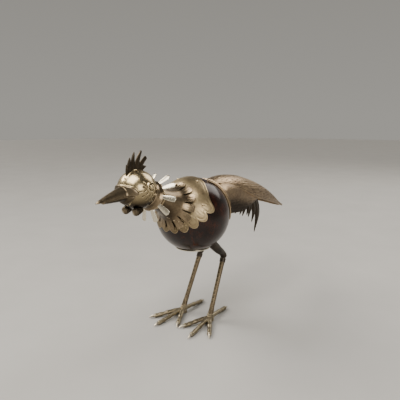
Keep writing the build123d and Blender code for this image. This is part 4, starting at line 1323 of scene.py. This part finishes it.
both_sides(thigh, "thigh", "leg_metal", THIGH_METAL)
both_sides(shank, "shank", "leg_metal", LEG_METAL)
both_sides(ferrule, "knee_ferrule", "leg_metal", THIGH_METAL)
both_sides(foot, "foot", "foot_metal", FOOT_METAL, voxel=0.26, smooth=2)
both_sides(claws, "claws", "bright_silver", CLAW_METAL)


# ---- Winding key ----


def make_key():
    """A butterfly key: two pierced wings on a turned barrel."""
    low, high = node_box("winding_key")
    arbor = np.array(joint("winding_turn")["pos_m"]) / MM
    start = np.array([low[0], arbor[1], arbor[2]])
    length = high[0] - low[0]
    outer_end = [(1.0, 0.0), (1.7, 0.0), (2.1, 0.25), (2.2, 0.7), (1.75, 1.2)]
    inner_end = [(1.75, 1.6), (2.25, 1.1), (2.3, 0.4), (2.1, 0.0), (1.0, 0.0)]
    barrel = outer_end + [(r, length - back) for r, back in inner_end]
    surface = lathe(Surface(), barrel, (start, (1, 0, 0), (0, 0, 1)), 40)
    for side in (1, -1):
        turn = np.linspace(0, 2 * pi, 61)
        centre = start + np.array([2.05, 0, side * 3.75])
        ring = centre + joined(-1.45 * np.cos(turn) * 0.93, 0, 2.45 * np.sin(turn))
        sweep(surface, ring, 0.62, 0.5, (0, 1, 0), 16)
    return piece("winding_key", surface, "winding", "steel", STEEL)


make_key()


# ---- CAD nodes that keep their shape ----

KEEPS = (
    (CONE_METAL, "neck_tube", "head_sleeve"),
    (GILT_TAIL, "tail_spine"),
    (CLOCK_BRASS, "key_bush", "frame_plate_left", "frame_plate_right", "frame_foot_bar"),
    (CLOCK_BRASS, "great_wheel", "second_wheel", "crank_wheel", "fly"),
    (STEEL, "frame_pillars", "pillar_nuts", "winding_arbor", "mainspring", "ratchet_wheel"),
    (STEEL, "click", "click_spring", "leg_lever", "hip_shaft", "hip_nuts"),
)
for look, *nodes in KEEPS:
    for node in nodes:
        for slot in frame["nodes"][node].material_slots:
            slot.material = look


# ---- Stage, lights and camera ----


def make_floor():
    """A plain round floor, three metres in radius."""
    reach, parts = 3.0, 96
    mesh = bpy.data.meshes.new("floor")
    ring = [(reach * cos(2 * pi * k / parts), reach * sin(2 * pi * k / parts), 0) for k in range(parts)]
    mesh.from_pydata(ring, [], [list(range(parts))])
    mesh.materials.append(floor_look())
    placed("floor", mesh)


AIM = np.array([4.179, 3.528, 95.811]) * MM


def lamp(name, kind, azimuth, elevation, power, distance, tint):
    """A light that looks at the bird, and its data. Azimuth runs from -Y towards +X."""
    data = bpy.data.lights.new(name, kind)
    data.energy, data.color = power, tint
    a, e = radians(azimuth), radians(elevation)
    out = Vector((sin(a) * cos(e), -cos(a) * cos(e), sin(e)))
    obj = placed(name, data)
    obj.location = Vector(AIM) + out * distance
    obj.rotation_euler = out.to_track_quat("Z", "Y").to_euler()
    return data


def soft_light(name, azimuth, elevation, distance, size, power):
    """A square area light of the given size in metres."""
    data = lamp(name, "AREA", azimuth, elevation, power, distance, (1.0, 0.96, 0.9))
    data.shape, data.size = "SQUARE", size


def soft_sun(name, azimuth, elevation, width, strength):
    """A broad far light that falls evenly on bird and floor; width is its size in the sky in degrees."""
    data = lamp(name, "SUN", azimuth, elevation, strength, 0.0, (1.0, 0.95, 0.87))
    data.angle = radians(width)


SKY = (
    (0.0, (0.42, 0.405, 0.37)),
    (0.25, (0.36, 0.345, 0.315)),
    (0.6, (0.08, 0.078, 0.072)),
    (1.0, (0.05, 0.05, 0.048)),
)
SKY_STRENGTH = 0.85


def make_world():
    """A pale band at the horizon that darkens overhead, so that the metal has something to mirror."""
    world = bpy.data.worlds.new("studio")
    bpy.context.scene.world = world
    world.use_nodes = True
    tree = world.node_tree
    where = tree.nodes.new("ShaderNodeTexCoord")
    parts = tree.nodes.new("ShaderNodeSeparateXYZ")
    ramp = tree.nodes.new("ShaderNodeValToRGB")
    tree.links.new(where.outputs["Generated"], parts.inputs[0])
    tree.links.new(parts.outputs["Z"], ramp.inputs["Fac"])
    tree.links.new(ramp.outputs["Color"], tree.nodes["Background"].inputs["Color"])
    fill_ramp(ramp.color_ramp, SKY)
    tree.nodes["Background"].inputs["Strength"].default_value = SKY_STRENGTH


CAMERA_AT = (187.084, -256.208, 157.175)


def make_camera():
    """The camera of the reference view: 35 degrees round to the bird's left and 11 degrees above it."""
    data = bpy.data.cameras.new("camera")
    data.lens, data.sensor_width = 38.67, 36.0
    data.clip_start = 0.01
    camera = placed("camera", data)
    camera.location = Vector(CAMERA_AT) * MM
    camera.rotation_euler = (Vector(CAMERA_AT) * MM - Vector(AIM)).to_track_quat("Z", "Y").to_euler()
    bpy.context.scene.camera = camera


make_floor()
make_world()
soft_sun("key", azimuth=-84, elevation=42, width=34, strength=2.9)
soft_light("over", azimuth=-6, elevation=62, distance=0.8, size=0.6, power=7.0)
soft_light("side", azimuth=64, elevation=20, distance=1.0, size=0.5, power=3.0)
soft_light("back", azimuth=170, elevation=40, distance=1.0, size=0.6, power=4.0)
make_camera()
